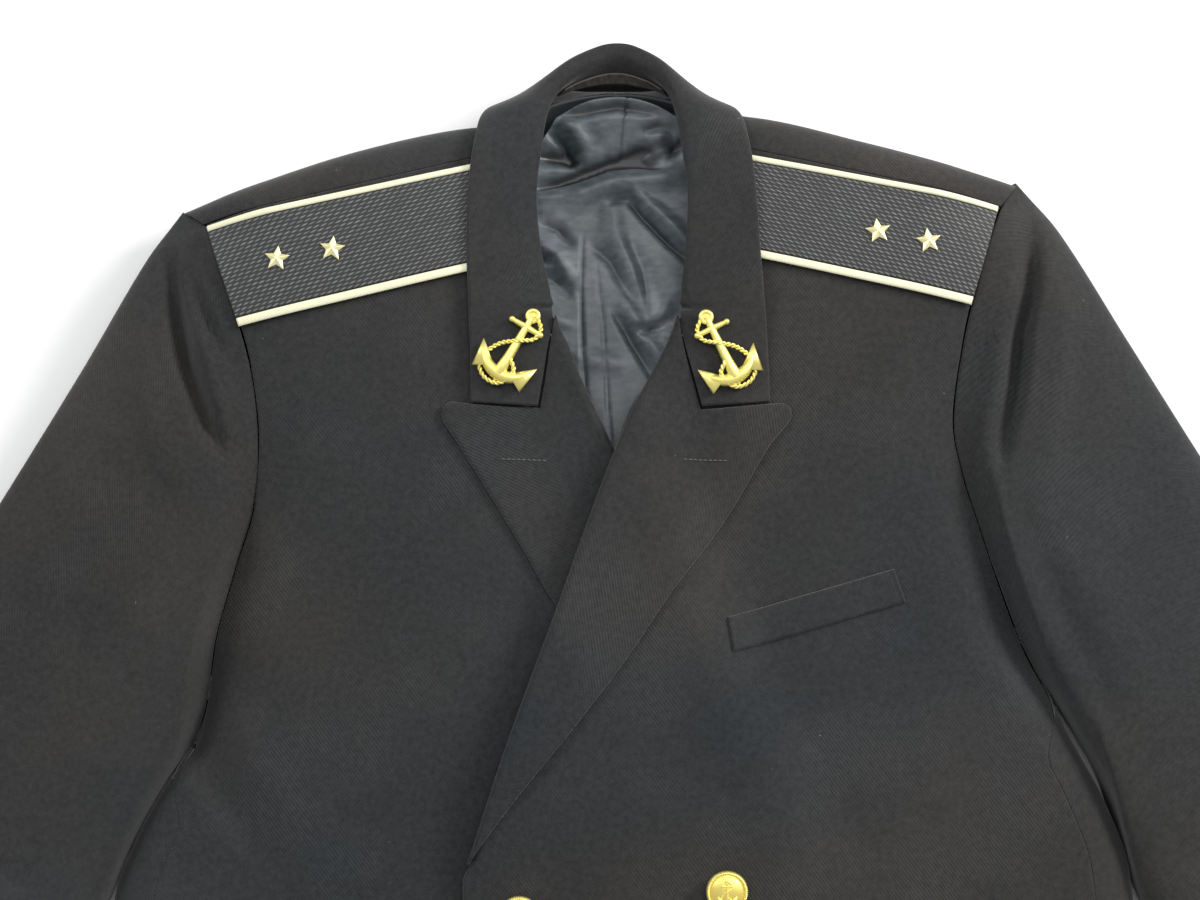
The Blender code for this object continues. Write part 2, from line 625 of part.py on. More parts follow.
def lapel_point(side):
    top = polyline(LAPEL_TOP[side])
    edge = curve(LAPEL_EDGE[side])
    end_y = BREAK_Y + 10.0

    def roll(v):
        y = mix(GORGE_Y, end_y, v)
        return Vector((ROLL_X[side](y), y))

    end = curve([roll(1.0), LAPEL_EDGE[side][-1]])

    def height(x, y):
        away = abs(x - ROLL_X[side](y)) * 0.9
        carried = 2.2 if side == RIGHT and y < -20.0 else 3.0
        return front_face(side, x, y) + LAY + carried * math.exp(-away / 16.0)

    def point(u, v):
        edge_point = roll(v)
        heading = (roll(min(v + 0.01, 1.0)) - roll(max(v - 0.01, 0.0))).normalized()
        outward = Vector((-heading.y, heading.x)) * side
        turn = mix(1.2, ROLL, min(v / 0.06, 1.0))
        first = edge_point + outward * ROLL
        low = front_face(side, first.x, first.y) - CLOTH
        high = height(first.x, first.y)
        if u <= 1.0:
            if u < 0.0:
                spot = edge_point + outward * (ROLL + 1.6)
                return Vector((spot.x, spot.y, low))
            angle = math.pi * (u - 0.5)
            reach = turn if angle > 0.0 else ROLL
            spot = edge_point + outward * reach * (1.0 - math.cos(angle))
            return Vector((spot.x, spot.y, mix(low, high, 0.5 + 0.5 * math.sin(angle))))
        share = u - 1.0
        plan = coons(top, end, roll, edge, share, v)
        plan += outward * turn * (1.0 - share) ** 6
        return Vector((plan.x, plan.y, height(plan.x, plan.y)))

    return point


def make_lapel(side, name):
    point = lapel_point(side)
    lengths = [(Vector(b) - Vector(a)).length for a, b in zip(LAPEL_TOP[side], LAPEL_TOP[side][1:])]
    gorge_end = sum(lengths[:GORGE_POINTS - 1]) / sum(lengths)
    across = [-1.0, 0.0, 0.25, 0.5, 0.75, 1.0]
    across += [1.0 + t for t in (0.08, 0.18, 0.32, gorge_end, 0.64, 0.8, 0.9, 1.0)]
    return sheet(name, across, stops(14), point, WOOL, flip=side == LEFT)


def collar_section(row, side):
    """The collar's section at one place, as a curve from the stand's foot to the outer edge."""
    def set_out(point):
        return Vector((side * point[0] + LEAN(point[1]), point[1], point[2]))

    roll = set_out(row.roll)
    fall = set_out(row.fall)
    foot = set_out(row.foot)
    swing = Vector((side * row.swing[0], row.swing[1], row.swing[2]))
    over = Vector((0.0, 0.0, row.drop))

    def at(t):
        if t <= 0.4:
            return bezier(foot, foot.lerp(roll, 0.5), roll - swing, roll, t / 0.4)
        outer = fall.lerp(roll, 0.45) + over + swing * 0.4
        return bezier(roll, roll + swing, outer, fall, (t - 0.4) / 0.6)

    return at


def collar_begin(row, side):
    """Where a section of the collar begins: at the gorge seam, or at the stand."""
    if row.roll[1] > GORGE_Y:
        return row.begin
    gorge = track([Neck(y, x) for x, y in LAPEL_TOP[side][:GORGE_POINTS]], "y", "x")
    section = collar_section(row, side)
    low = row.begin
    high = 1.0
    for _ in range(24):
        middle = (low + high) / 2
        spot = section(middle)
        if side * (spot.x - gorge(spot.y)) < SEAM + 0.9:
            low = middle
        else:
            high = middle
    return high


COLLAR_BEGIN = {}


def begin_of(number, side):
    if (number, side) not in COLLAR_BEGIN:
        COLLAR_BEGIN[number, side] = collar_begin(COLLAR[number], side)
    return COLLAR_BEGIN[number, side]


def collar_point(u, v):
    side = RIGHT if v < 0.5 else LEFT
    place_on_half = (v if v < 0.5 else 1.0 - v) * 2.0 * (len(COLLAR) - 1)
    low = min(int(place_on_half), len(COLLAR) - 2)
    share = place_on_half - low
    stations = [min(max(low + i, 0), len(COLLAR) - 1) for i in (-1, 0, 1, 2)]
    values = []
    for number in stations:
        row = COLLAR[number]
        values.append(collar_section(row, side)(mix(begin_of(number, side), 1.0, u)))
    if low + 2 > len(COLLAR) - 1:
        row = COLLAR[len(COLLAR) - 2]
        values[3] = collar_section(row, -side)(mix(row.begin, 1.0, u))
    before, a, b, after = values
    slope_a = (b - before) * 0.5
    slope_b = (after - a) * 0.5
    t = share
    if abs(COLLAR[low].begin - COLLAR[low + 1].begin) > 0.1:
        return a.lerp(b, t)
    return (a * (1 + 2 * t) * (1 - t) ** 2 + slope_a * t * (1 - t) ** 2
            + b * t * t * (3 - 2 * t) + slope_b * t * t * (t - 1))


def make_collar():
    half = [i / (2.0 * (len(COLLAR) - 1)) for i in range(len(COLLAR))]
    extra = [half[i] + 0.5 * (half[1] - half[0]) for i in range(7, len(COLLAR) - 1)]
    first = sorted(half + extra)
    along = first + [1.0 - v for v in reversed(first[:-1])]
    return sheet("collar", stops(8), along, collar_point, WOOL, flip=True)


# Back lining and the tape below the collar's stand

def lining_height(x, y):
    """Outer face of the lining, which lies in soft wrinkles on the back."""
    rise = 10.6 * smooth((y - 168.0) / 36.0) + 6.0 * smooth((abs(x) - 30.0) / 30.0) * smooth(
        (y - 140.0) / 40.0)
    height = 4.2
    here = Vector((x, y))
    for row in WRINKLES:
        a = Vector(row.start)
        b = Vector(row.end)
        share = min(max((here - a).dot(b - a) / (b - a).length_squared, 0.0), 1.0)
        away = (here - a.lerp(b, share)).length / row.width
        height += row.height * math.exp(-away * away)
    return max(height, 3.5) + rise


def make_lining():
    """The part of the back lining that the neck opening shows, and a little more."""
    right = curve([(-40, -50), (-58, 20), (-62, 90), (-59, 135), (-50, 166), (-35, 192)])
    left = curve([(40, -50), (56, 20), (58, 90), (56, 137), (48, 168), (33, 193)])

    def point(u, v):
        a = right(v)
        b = left(v)
        arch = 11.0 * smooth((v - 0.6) / 0.4) * (1.0 - (2 * u - 1) ** 2)
        x = mix(a.x, b.x, u)
        y = mix(a.y, b.y, u) + arch
        return Vector((x, y, lining_height(x, y)))

    return sheet("back_lining", stops(13), stops(17), point, LINING, thick=1.0)


def raised(point_of, u, v, rise, sign):
    """A place above a sheet, along its own way up."""
    step = 0.004
    across = point_of(u + step, v) - point_of(u - step, v)
    along = point_of(u, v + step) - point_of(u, v - step)
    return point_of(u, v) + across.cross(along).normalized() * sign * rise


def make_band():
    """A tape sewn along the foot of the collar's stand at the back of the neck."""
    def point(u, v):
        return raised(collar_point, mix(0.02, 0.13, v), mix(0.42, 0.58, u), 1.9, -1)

    return sheet("collar_band", stops(10), stops(2), point, TAPE, thick=1.0)


# Pieces sewn on the fronts

def quarter(corners, u, v):
    """A place in a four-cornered outline: u from its first pair of corners to the next."""
    a, b, c, d = (Vector(corner) for corner in corners)
    return a.lerp(b, u).lerp(c.lerp(d, u), v)


def make_welt():
    def point(u, v):
        spot = quarter(WELT, u, v)
        return Vector((spot.x, spot.y, front_face(LEFT, spot.x, spot.y) + SEAM + 0.4 + 1.5))

    return sheet("breast_welt", stops(8), stops(2), point, WOOL, flip=True, thick=1.5)


def strap_frame(side, u, v):
    """A place on the strap's field, u from the neck out and v from its back to its front edge."""
    back_neck, back_end, front_neck, front_end = STRAPS[side]
    return quarter((back_neck, back_end, front_neck, front_end), u, v)


def strap_top(side, spot):
    return front_face(side, spot.x, spot.y) + 0.9 + STRAP_THICK


def make_strap(side, name):
    width = 60.0
    edge = (PIPING_WIDTH + 0.3) / width

    def point(u, v):
        spot = strap_frame(side, u, mix(edge, 1.0 - edge, v))
        return Vector((spot.x, spot.y, strap_top(side, spot)))

    sheet("shoulder_strap_" + name, stops(12), stops(4), point, GALLOON,
          flip=side == LEFT, thick=STRAP_THICK)
    for edge_name, middle in (("back", 0.5 * edge), ("front", 1.0 - 0.5 * edge)):
        make_piping(side, "piping_" + edge_name + "_" + name, middle)


def make_piping(side, name, middle):
    """A half-round cord along one edge of a strap."""
    half = 0.5 * (PIPING_WIDTH - 0.3) / 60.0

    def point(u, v):
        spot = strap_frame(side, u, middle + half * math.sin(v))
        crown = PIPING_THICK * (math.cos(v) - 1.0) * 0.45
        return Vector((spot.x, spot.y, strap_top(side, spot) + 0.4 + crown))

    arc = [math.radians(a) for a in (-80, -30, 30, 80)]
    sheet(name, stops(12), arc, point, PIPING, flip=side == LEFT, thick=1.2)


def seat(point_of, x, y, rise):
    """A frame on a face at a place: its height function's slope gives the way up."""
    step = 6.0
    level = point_of(x, y)
    slope_x = (point_of(x + step, y) - point_of(x - step, y)) / (2 * step)
    slope_y = (point_of(x, y + step) - point_of(x, y - step)) / (2 * step)
    up = Vector((-slope_x, -slope_y, 1.0)).normalized()
    return Vector((x, y, level)) + up * rise, up


def stand_on(mesh, spot, up, heading):
    """Move a mesh, made at the origin in metres, to a place, its +Y towards a heading."""
    forward = (Vector((*heading, 0.0)) - up * up.dot(Vector((*heading, 0.0)))).normalized()
    sideways = forward.cross(up)
    turn = Matrix((sideways, forward, up)).transposed().to_4x4()
    mesh.transform(Matrix.Translation(place(spot)) @ turn)


def star_mesh():
    """A five-rayed star with a ridge down each ray."""
    form = bmesh.new()
    size = 0.5 * STAR_SIZE * MM
    bmesh.ops.create_cone(form, cap_ends=True, segments=10, radius1=size, radius2=0.0, depth=0.0024)
    bmesh.ops.remove_doubles(form, verts=form.verts, dist=0.00001)
    for vertex in form.verts:
        vertex.co.z += 0.0012
        angle = math.atan2(vertex.co.y, vertex.co.x)
        if vertex.co.xy.length > 0.1 * size:
            ray = round((angle - math.pi / 2) / math.radians(36)) % 2 == 0
            vertex.co.xy *= 1.0 if ray else 0.42
    mesh = bpy.data.meshes.new("star")
    form.to_mesh(mesh)
    form.free()
    return mesh


def make_stars(side, name):
    neck, end = Vector(STRAPS[side][0]), Vector(STRAPS[side][1])
    heading = (neck - end).normalized()
    for number, spot in enumerate(STARS[side]):
        mesh = star_mesh()
        seat_point, up = seat(lambda x, y: strap_top(side, Vector((x, y))), *spot, 0.45)
        stand_on(mesh, seat_point, up, heading)
        add("star_" + name + "_" + str(number + 1), mesh, GILT)


def turned(name, profile, finish, segments=14):
    """A body turned about +Z from its profile of (radius, height), in millimetres."""
    mesh = bpy.data.meshes.new(name)
    points = [(r * MM, 0.0, h * MM) for r, h in profile]
    mesh.from_pydata(points, [(i, i + 1) for i in range(len(points) - 1)], [])
    piece = add(name, mesh, finish)
    screw = piece.modifiers.new("turn", "SCREW")
    screw.steps = segments
    screw.render_steps = segments
    screw.use_merge_vertices = True
    screw.merge_threshold = 0.00001
    screw.use_normal_calculate = True
    return piece


def make_buttons():
    radius = 0.5 * BUTTON_DIAMETER
    profile = [(0.0, BUTTON_HEIGHT), (0.45 * radius, BUTTON_HEIGHT - 0.8),
               (0.82 * radius, BUTTON_HEIGHT - 2.8), (radius, BUTTON_HEIGHT - 4.6),
               (0.92 * radius, BUTTON_HEIGHT - 5.4), (0.3 * radius, BUTTON_HEIGHT - 6.2),
               (0.22 * radius, 0.0), (0.0, 0.0)]
    for row, y in enumerate(BUTTON_ROWS):
        for x, column in zip(BUTTON_COLUMNS, ("outer", "inner")):
            button = turned("button_" + column + "_" + str(row + 1), profile, GILT)
            level = y - (BUTTON_DROP if column == "inner" else 0.0)
            spot, up = seat(lambda a, b: front_face(LEFT, a, b), x, level, 0.7)
            button.location = place(spot)
            button.rotation_mode = "QUATERNION"
            button.rotation_quaternion = Vector((0, 0, 1)).rotation_difference(up)


# Fouled anchors on the collar's ends

def tube(points, radius, sides=1):
    """A round wire through points, in millimetres, as a closed mesh."""
    data = bpy.data.curves.new("wire", "CURVE")
    data.dimensions = "3D"
    spline = data.splines.new("POLY")
    spline.points.add(len(points) - 1)
    for knot, point in zip(spline.points, points):
        knot.co = (*(Vector(point) * MM), 1.0)
        knot.radius = 1.0
    data.bevel_depth = radius * MM
    data.bevel_resolution = sides
    data.use_fill_caps = True
    wire = bpy.data.objects.new("wire", data)
    jacket.objects.link(wire)
    bpy.context.view_layer.update()
    mesh = bpy.data.meshes.new_from_object(wire.evaluated_get(bpy.context.evaluated_depsgraph_get()))
    bpy.data.objects.remove(wire)
    form = bmesh.new()
    form.from_mesh(mesh)
    bmesh.ops.remove_doubles(form, verts=form.verts, dist=0.00001)
    form.to_mesh(mesh)
    form.free()
    return mesh


def ring_mesh(y, radius, wire):
    form = bmesh.new()
    bmesh.ops.create_circle(form, segments=6, radius=wire * MM)
    bmesh.ops.rotate(form, verts=form.verts, matrix=Matrix.Rotation(math.pi / 2, 3, "X"))
    bmesh.ops.translate(form, verts=form.verts, vec=(radius * MM, 0, 0))
    bmesh.ops.spin(form, geom=form.verts[:] + form.edges[:], angle=2 * math.pi, steps=12,
                   axis=(0, 0, 1), cent=(0, 0, 0), use_merge=True)
    bmesh.ops.remove_doubles(form, verts=form.verts, dist=0.00001)
    bmesh.ops.recalc_face_normals(form, faces=form.faces)
    bmesh.ops.translate(form, verts=form.verts, vec=(0, y * MM, 1.4 * MM))
    mesh = bpy.data.meshes.new("ring")
    form.to_mesh(mesh)
    form.free()
    return mesh


def fluke_mesh(sign):
    """The pointed palm at the end of one arm."""
    form = bmesh.new()
    bmesh.ops.create_cone(form, cap_ends=True, segments=6, radius1=0.0042, radius2=0.0002,
                          depth=0.011)
    bmesh.ops.scale(form, verts=form.verts, vec=(0.75, 0.36, 1.0))
    bmesh.ops.rotate(form, verts=form.verts, matrix=Matrix.Rotation(-math.pi / 2, 3, "X"))
    bmesh.ops.rotate(form, verts=form.verts, matrix=Matrix.Rotation(-sign * 0.5, 3, "Z"))
    bmesh.ops.translate(form, verts=form.verts, vec=(sign * 0.0132, -0.0125, 0.0016))
    mesh = bpy.data.meshes.new("fluke")
    form.to_mesh(mesh)
    form.free()
    return mesh


def anchor_mesh():
    """Shank, stock, ring, arms, palms and a rope round them, joined into one casting."""
    arms = []
    for i in range(11):
        angle = math.radians(mix(-64, 64, i / 10))
        arms.append((15.0 * math.sin(angle), -5.5 - 13.5 * math.cos(angle), 1.6))
    rope = []
    for i in range(17):
        t = i / 16
        rope.append((8.6 * math.sin(2 * math.pi * (0.12 + 1.05 * t)) * (0.5 + 0.5 * t),
                     mix(15.0, -21.0, t), 2.0 + 1.1 * math.cos(2 * math.pi * t)))
    shapes = [
        tube([(0, 16.0, 1.6), (0, 0, 1.8), (0, -19.5, 1.8)], 1.7),
        tube([(-8.5, 11.5, 1.6), (0, 11.5, 1.6), (8.5, 11.5, 1.6)], 1.25),
        tube(arms, 1.5),
        ring_mesh(18.6, 3.0, 1.0),
        fluke_mesh(1),
        fluke_mesh(-1),
        tube(rope, 0.9, 0),
    ]
    pieces = []
    for shape in shapes:
        piece = bpy.data.objects.new("casting", shape)
        jacket.objects.link(piece)
        pieces.append(piece)
    body = pieces[0]
    for piece in pieces[1:]:
        union = body.modifiers.new("join", "BOOLEAN")
        union.operation = "UNION"
        union.solver = "EXACT"
        union.object = piece
    bpy.context.view_layer.update()
    mesh = bpy.data.meshes.new_from_object(body.evaluated_get(bpy.context.evaluated_depsgraph_get()))
    for piece in pieces:
        bpy.data.objects.remove(piece)
    mesh.materials.clear()
    return mesh


def collar_top(side, x, y):
    """Height of the collar's outer face near its ends."""
    best = None
    for i in range(9):
        for j in range(9):
            v = mix(0.0, 0.2, i / 8)
            point = collar_point(mix(0.0, 1.0, j / 8), v if side == RIGHT else 1.0 - v)
            away = (point.xy - Vector((x, y))).length
            if best is None or away < best[0]:
                best = (away, point.z)
    return best[1]


def make_anchors():
    for side, name in ((RIGHT, "right"), (LEFT, "left")):
        ring, crown = (Vector(p) for p in ANCHORS[side])
        middle = (ring + crown) / 2
        mesh = anchor_mesh()
        spot, up = seat(lambda x, y: collar_top(side, x, y), middle.x, middle.y, 0.3)
        stand_on(mesh, spot, Vector((0, 0, 1)).lerp(up, 0.8).normalized(), (ring - crown).normalized())
        add("anchor_" + name, mesh, GILT)


def build():
    make_back()
    make_front(RIGHT, "front_right")
    make_front(LEFT, "front_left")
    make_side(RIGHT, "side_right")
    make_side(LEFT, "side_left")
    make_sleeve(RIGHT, "upper_sleeve_right", "under_sleeve_right")
    make_sleeve(LEFT, "upper_sleeve_left", "under_sleeve_left")
    make_lapel(RIGHT, "lapel_right")
    make_lapel(LEFT, "lapel_left")
    make_collar()
    make_lining()
    make_band()
    make_welt()
    for side, name in ((RIGHT, "right"), (LEFT, "left")):
        make_strap(side, name)
        make_stars(side, name)
    make_anchors()
    make_buttons()


for old in list(bpy.data.objects):
    bpy.data.objects.remove(old)
jacket = bpy.data.collections.new("military_jacket")
bpy.context.scene.collection.children.link(jacket)
origin = bpy.data.objects.new("jacket_origin", None)
jacket.objects.link(origin)
build()
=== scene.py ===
"""Looks of a naval double-breasted jacket that lies flat on its back.

The tables are in millimetres from the point where the two lapels cross, with the wearer's
left at +X and the collar at +Y. place() turns them into metres in the frame.
"""

import math
from collections import namedtuple

import bmesh
import bpy
from mathutils import Matrix, Vector


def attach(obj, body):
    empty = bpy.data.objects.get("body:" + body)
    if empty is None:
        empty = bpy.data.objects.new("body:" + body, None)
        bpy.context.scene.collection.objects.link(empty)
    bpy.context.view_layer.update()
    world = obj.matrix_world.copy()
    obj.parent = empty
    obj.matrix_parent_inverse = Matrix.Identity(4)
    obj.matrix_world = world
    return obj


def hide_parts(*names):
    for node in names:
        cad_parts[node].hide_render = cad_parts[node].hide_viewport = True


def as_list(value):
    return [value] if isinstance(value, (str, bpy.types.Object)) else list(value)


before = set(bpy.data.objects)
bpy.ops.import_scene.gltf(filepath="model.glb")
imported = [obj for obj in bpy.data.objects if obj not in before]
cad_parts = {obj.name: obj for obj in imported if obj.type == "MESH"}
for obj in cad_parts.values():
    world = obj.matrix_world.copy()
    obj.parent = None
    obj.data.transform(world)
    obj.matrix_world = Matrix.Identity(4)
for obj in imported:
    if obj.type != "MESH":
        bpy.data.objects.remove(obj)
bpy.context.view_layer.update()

# Sizes of the cloth and the trimmings, in millimetres
MM = 0.001
CLOTH = 2.0
SEAM = 0.4
LAY = 3.2
ROLL = 4.0
HEM_Y = -593.0
SHOULDER_TURN = 30.0
TURNED_EDGE = 1.5            # radius of a turned and pressed edge
SEAM_EDGE = 1.1              # radius of the cloth's turn into a seam
STRAP_THICK = 2.4
PIPING_WIDTH = 5.0
BACK_PIPING_WIDTH = 3.9
PIPING_THICK = 2.6
STAR_SIZE = 14.6
BUTTON_DIAMETER = 22.0
BUTTON_HEIGHT = 8.0
CENTRE = Vector((-3.5, -180.93, 0.0))
SLEEVE_GAP = 0.4
BACK_GAP = 1.7
SLEEVE_LENGTH = 640.0
SLEEVE_GIRTH = 190.0
SLEEVE_PAST = 0.6            # angle that the upper sleeve turns under at its long folds
STRAP_WIDTH = 60.0
STRAP_LENGTH = 160.0
STRAP_SEAM = 0.3             # between a strap's braid and its piping

RIGHT = -1
LEFT = 1
SIDES = {RIGHT: "right", LEFT: "left"}

# Fullness of the fronts above the surface, at 120 mm either side of the middle and at the middle
Crown = namedtuple("Crown", "y right middle left")
CROWNS = [
    Crown(200, 38.0, 37.0, 38.0),
    Crown(165, 42.0, 41.0, 42.5),
    Crown(130, 44.5, 42.0, 44.5),
    Crown(100, 45.0, 42.0, 45.0),
    Crown(60, 43.0, 40.0, 43.5),
    Crown(20, 40.0, 36.5, 41.0),
    Crown(-20, 37.5, 34.0, 39.0),
    Crown(-70, 35.0, 32.0, 37.0),
    Crown(-120, 32.5, 31.0, 35.0),
    Crown(-180, 29.0, 30.0, 32.0),
    Crown(-240, 26.0, 28.0, 29.0),
    Crown(-340, 21.0, 23.0, 23.0),
    Crown(-460, 15.0, 17.0, 16.0),
    Crown(HEM_Y, 9.0, 10.0, 9.5),
]

# The body's edge on each side: the armhole seam down to the underarm, then the side fold
Edge = namedtuple("Edge", "y x z")
UNDERARM_Y = {RIGHT: -160.0, LEFT: -125.0}
UNDER_SEAM = {RIGHT: 0.17, LEFT: 0.21}     # angle between the two sleeve pieces at the head
EDGES = {
    RIGHT: [
        Edge(136, -243, 20), Edge(122, -226.5, 35), Edge(88, -214, 42), Edge(42, -200, 39),
        Edge(3, -195.5, 34), Edge(-32, -197.5, 30), Edge(-65, -207, 26), Edge(-105, -218, 20),
        Edge(-135, -222, 15), Edge(-160, -229, 11), Edge(-180, -243, 11),
        Edge(-212, -259.5, 11), Edge(-243, -269.5, 10.5), Edge(-275, -271, 10),
        Edge(-340, -264, 8.5),
        Edge(-460, -268, 6.5), Edge(HEM_Y, -276, 4.5),
    ],
    LEFT: [
        Edge(153, 223, 20), Edge(132, 211, 35), Edge(99, 199, 42), Edge(55, 188, 39),
        Edge(12, 182.5, 34), Edge(-15, 187, 31), Edge(-41, 195, 28), Edge(-73, 206, 24),
        Edge(-108, 220, 16), Edge(-125, 229, 11), Edge(-154, 243, 11),
        Edge(-193, 262.6, 11), Edge(-226, 273.5, 10.5), Edge(-262, 276, 10),
        Edge(-340, 267, 8.5),
        Edge(-460, 270, 6.5), Edge(HEM_Y, 278, 4.5),
    ],
}

# Neck seam of each front, from the shoulder seam down to the top of the gorge
Neck = namedtuple("Neck", "y x")
NECKS = {
    RIGHT: [
        Neck(163.5, -66), Neck(142, -69), Neck(125, -68), Neck(108, -63), Neck(92, -52.5),
        Neck(80, -43), Neck(72, -40),
    ],
    LEFT: [
        Neck(167.5, 63), Neck(145, 62.5), Neck(126, 62.5), Neck(108, 59), Neck(92, 50),
        Neck(80, 42), Neck(72, 38.8),
    ],
}

# Roll line of each lapel from the gorge to the break, and the front edge below it
Roll = namedtuple("Roll", "y x")
ROLLS = {
    RIGHT: [
        Roll(84, -36.2), Roll(66, -32.4), Roll(54, -27), Roll(39.5, -21.4), Roll(25, -15),
        Roll(-3, -2), Roll(-60, 20), Roll(-120, 42.5), Roll(-226, 82), Roll(-250, 83),
        Roll(HEM_Y, 83),
    ],
    LEFT: [
        Roll(84, 35.4), Roll(72, 32.3), Roll(61, 29), Roll(48, 23), Roll(23, 10),
        Roll(-4, -1.8), Roll(-47, -18), Roll(-91, -33.5), Roll(-143, -52.6), Roll(-195, -71),
        Roll(-226, -82), Roll(-250, -82), Roll(HEM_Y, -82),
    ],
}
GORGE_Y = 70.0               # where the gorge seam reaches the roll
BREAK_Y = -226.0             # where the roll ends and the front edge begins

# Levels at which a front's inner line and its armhole or side seam face each other
Level = namedtuple("Level", "inner outer")
LEVELS = {
    RIGHT: [
        Level(163.5, 124), Level(142, 105), Level(120, 88), Level(95, 68), Level(75, 50),
        Level(50, 28), Level(20, 3), Level(-10, -22), Level(-60, -62), Level(-160, -160),
        Level(HEM_Y, HEM_Y),
    ],
    LEFT: [
        Level(167.5, 134), Level(145, 113), Level(120, 93), Level(95, 72), Level(75, 52),
        Level(50, 28), Level(20, 3), Level(-10, -20), Level(-60, -58), Level(-125, -125),
        Level(HEM_Y, HEM_Y),
    ],
}

# The back's turn over each shoulder and round the neck, from the armhole to the armhole
# turn: where it leaves the surface; top: shoulder seam or neck seam; low, high: curve handles
Turn = namedtuple("Turn", "share turn top low high")
TURNS = [
    Turn(0.00, (-225, 120, 0), (-228, 125.5, 35), (-20, 19, 0), (-19, 15, -4)),
    Turn(0.18, (-146, 140, 0), (-146, 146.1, 41), (0, 37, 0), (0, 35, -3)),
    Turn(0.34, (-74, 152, 0), (-67, 165.4, 39.5), (0, 34, 0), (0, 33, -4)),
    Turn(0.40, (-54, 156, 0), (-54, 184.5, 26.5), (0, 25, 0), (0, 9, -11)),
    Turn(0.45, (-32, 166, 0), (-34, 200.5, 15), (0, 20, 0), (0, -2, -9)),
    Turn(0.50, (0, 170, 0), (-1, 207.5, 10.5), (0, 18, 0), (0, -9, -8)),
    Turn(0.55, (30, 168, 0), (31, 201.5, 15), (0, 20, 0), (0, -2, -9)),
    Turn(0.60, (54, 158, 0), (53, 186.5, 26.5), (0, 25, 0), (0, 9, -11)),
    Turn(0.66, (74, 156, 0), (64, 169.2, 40.5), (0, 36, 0), (0, 36, -4)),
    Turn(0.82, (140, 146, 0), (140, 152.8, 42), (0, 36, 0), (0, 33, -3)),
    Turn(1.00, (208, 130, 0), (211, 135.8, 35), (18, 27, 0), (16, 22, -4)),
]

# Half of the collar from its end to the middle of the neck
# roll: turned edge; fall: outer edge; foot: where the stand is sewn on; begin: first share used
Collar = namedtuple("Collar", "roll fall foot swing drop begin")
COLLAR = [
    Collar((12.0, 18, 41.0), (81.2, 22.8, 42.5), (30, 20, 34), (0, 0, 4), 0.5, 0.4),
    Collar((20.5, 38, 42.0), (81.0, 39, 44.5), (36, 39, 35), (0, 0, 4), 0.5, 0.4),
    Collar((27.0, 54, 42.5), (80.8, 54, 46.5), (36, 55, 37), (0, 0, 4), 0.5, 0.4),
    Collar((31.6, 66, 42.5), (80.8, 66, 48.0), (36, 66, 38), (0, 0, 4), 0.5, 0.4),
    Collar((33.3, 72.6, 43.0), (80.7, 72.8, 48.5), (36, 72, 39), (0, 0, 4), 0.5, 0.5),
    Collar((34.2, 77, 43.0), (80.6, 77.5, 49.0), (37, 77, 39.5), (0, 0, 4), 0.5, 0.16),
    Collar((35.8, 84, 43.3), (80.5, 85, 49.5), (42.5, 85, 39.8), (0, 0, 4), 0.5, 0.0),
    Collar((39.5, 108, 44.0), (80.2, 110, 51.0), (57.8, 110, 41), (0, 0, 4), 0.5, 0.0),
    Collar((41.5, 138, 44.0), (79.0, 141, 51.0), (63.8, 139, 41), (0, 0, 4), 0.5, 0.0),
    Collar((38.8, 165, 42.0), (75.8, 169, 48.0), (61.0, 164, 39), (0, 0, 5), 1.0, 0.0),
    Collar((35.8, 187, 38.0), (71.2, 190.5, 33.6), (56, 181, 31), (1, 3, 6), 8.0, 0.0),
    Collar((31.5, 203, 34.0), (58.0, 203, 12.0), (46, 194.5, 22), (3, 5, 5), 11.0, 0.0),
    Collar((22.5, 217, 31.5), (36.0, 214, 1.6), (28, 206.5, 16), (4, 8, 2), 12.0, 0.0),
    Collar((10.0, 226, 30.0), (15.0, 214, 1.6), (12, 211, 13.5), (2, 9, 1), 12.0, 0.0),
    Collar((0.0, 228.5, 29.5), (0.0, 214, 1.6), (0, 212, 13.0), (0, 9, 1), 12.0, 0.0),
]

# Middle line of the collar, which leans a little as the jacket lies
Lean = namedtuple("Lean", "y x")
LEANS = [Lean(0, 1.5), Lean(40, 0.8), Lean(70, -0.5), Lean(120, -3), Lean(190, -3.5),
         Lean(212, -2.0), Lean(240, 1.5)]

# Outer edge of each lapel from its tip to the break, and its top from the roll to the tip:
# the first points of a top are the gorge seam, which the collar is sewn to
GORGE_POINTS = 5
LAPEL_TOP = {
    RIGHT: [(-33.4, 70), (-35.0, 62), (-37.2, 51.5), (-39.6, 36), (-42.4, 19.8), (-60, 20.2),
            (-80, 21.8), (-91, 23.2), (-95.5, 20.5)],
    LEFT: [(31.7, 70), (33.4, 61), (35.8, 50), (39.8, 36), (44.6, 18.6), (62, 19.8),
           (82, 21.6), (90, 22.0), (94.0, 18.5)],
}
LAPEL_EDGE = {
    RIGHT: [(-95.5, 20.5), (-95.6, 14), (-88, 2), (-71, -25), (-52, -56), (-35, -85),
            (0, -130), (60, -200), (78, -219)],
    LEFT: [(94.0, 18.5), (93.2, 13), (82, -1), (58, -41), (27, -83), (2, -119.5), (-33, -164.5),
           (-56, -191), (-75.5, -212.5)],
}

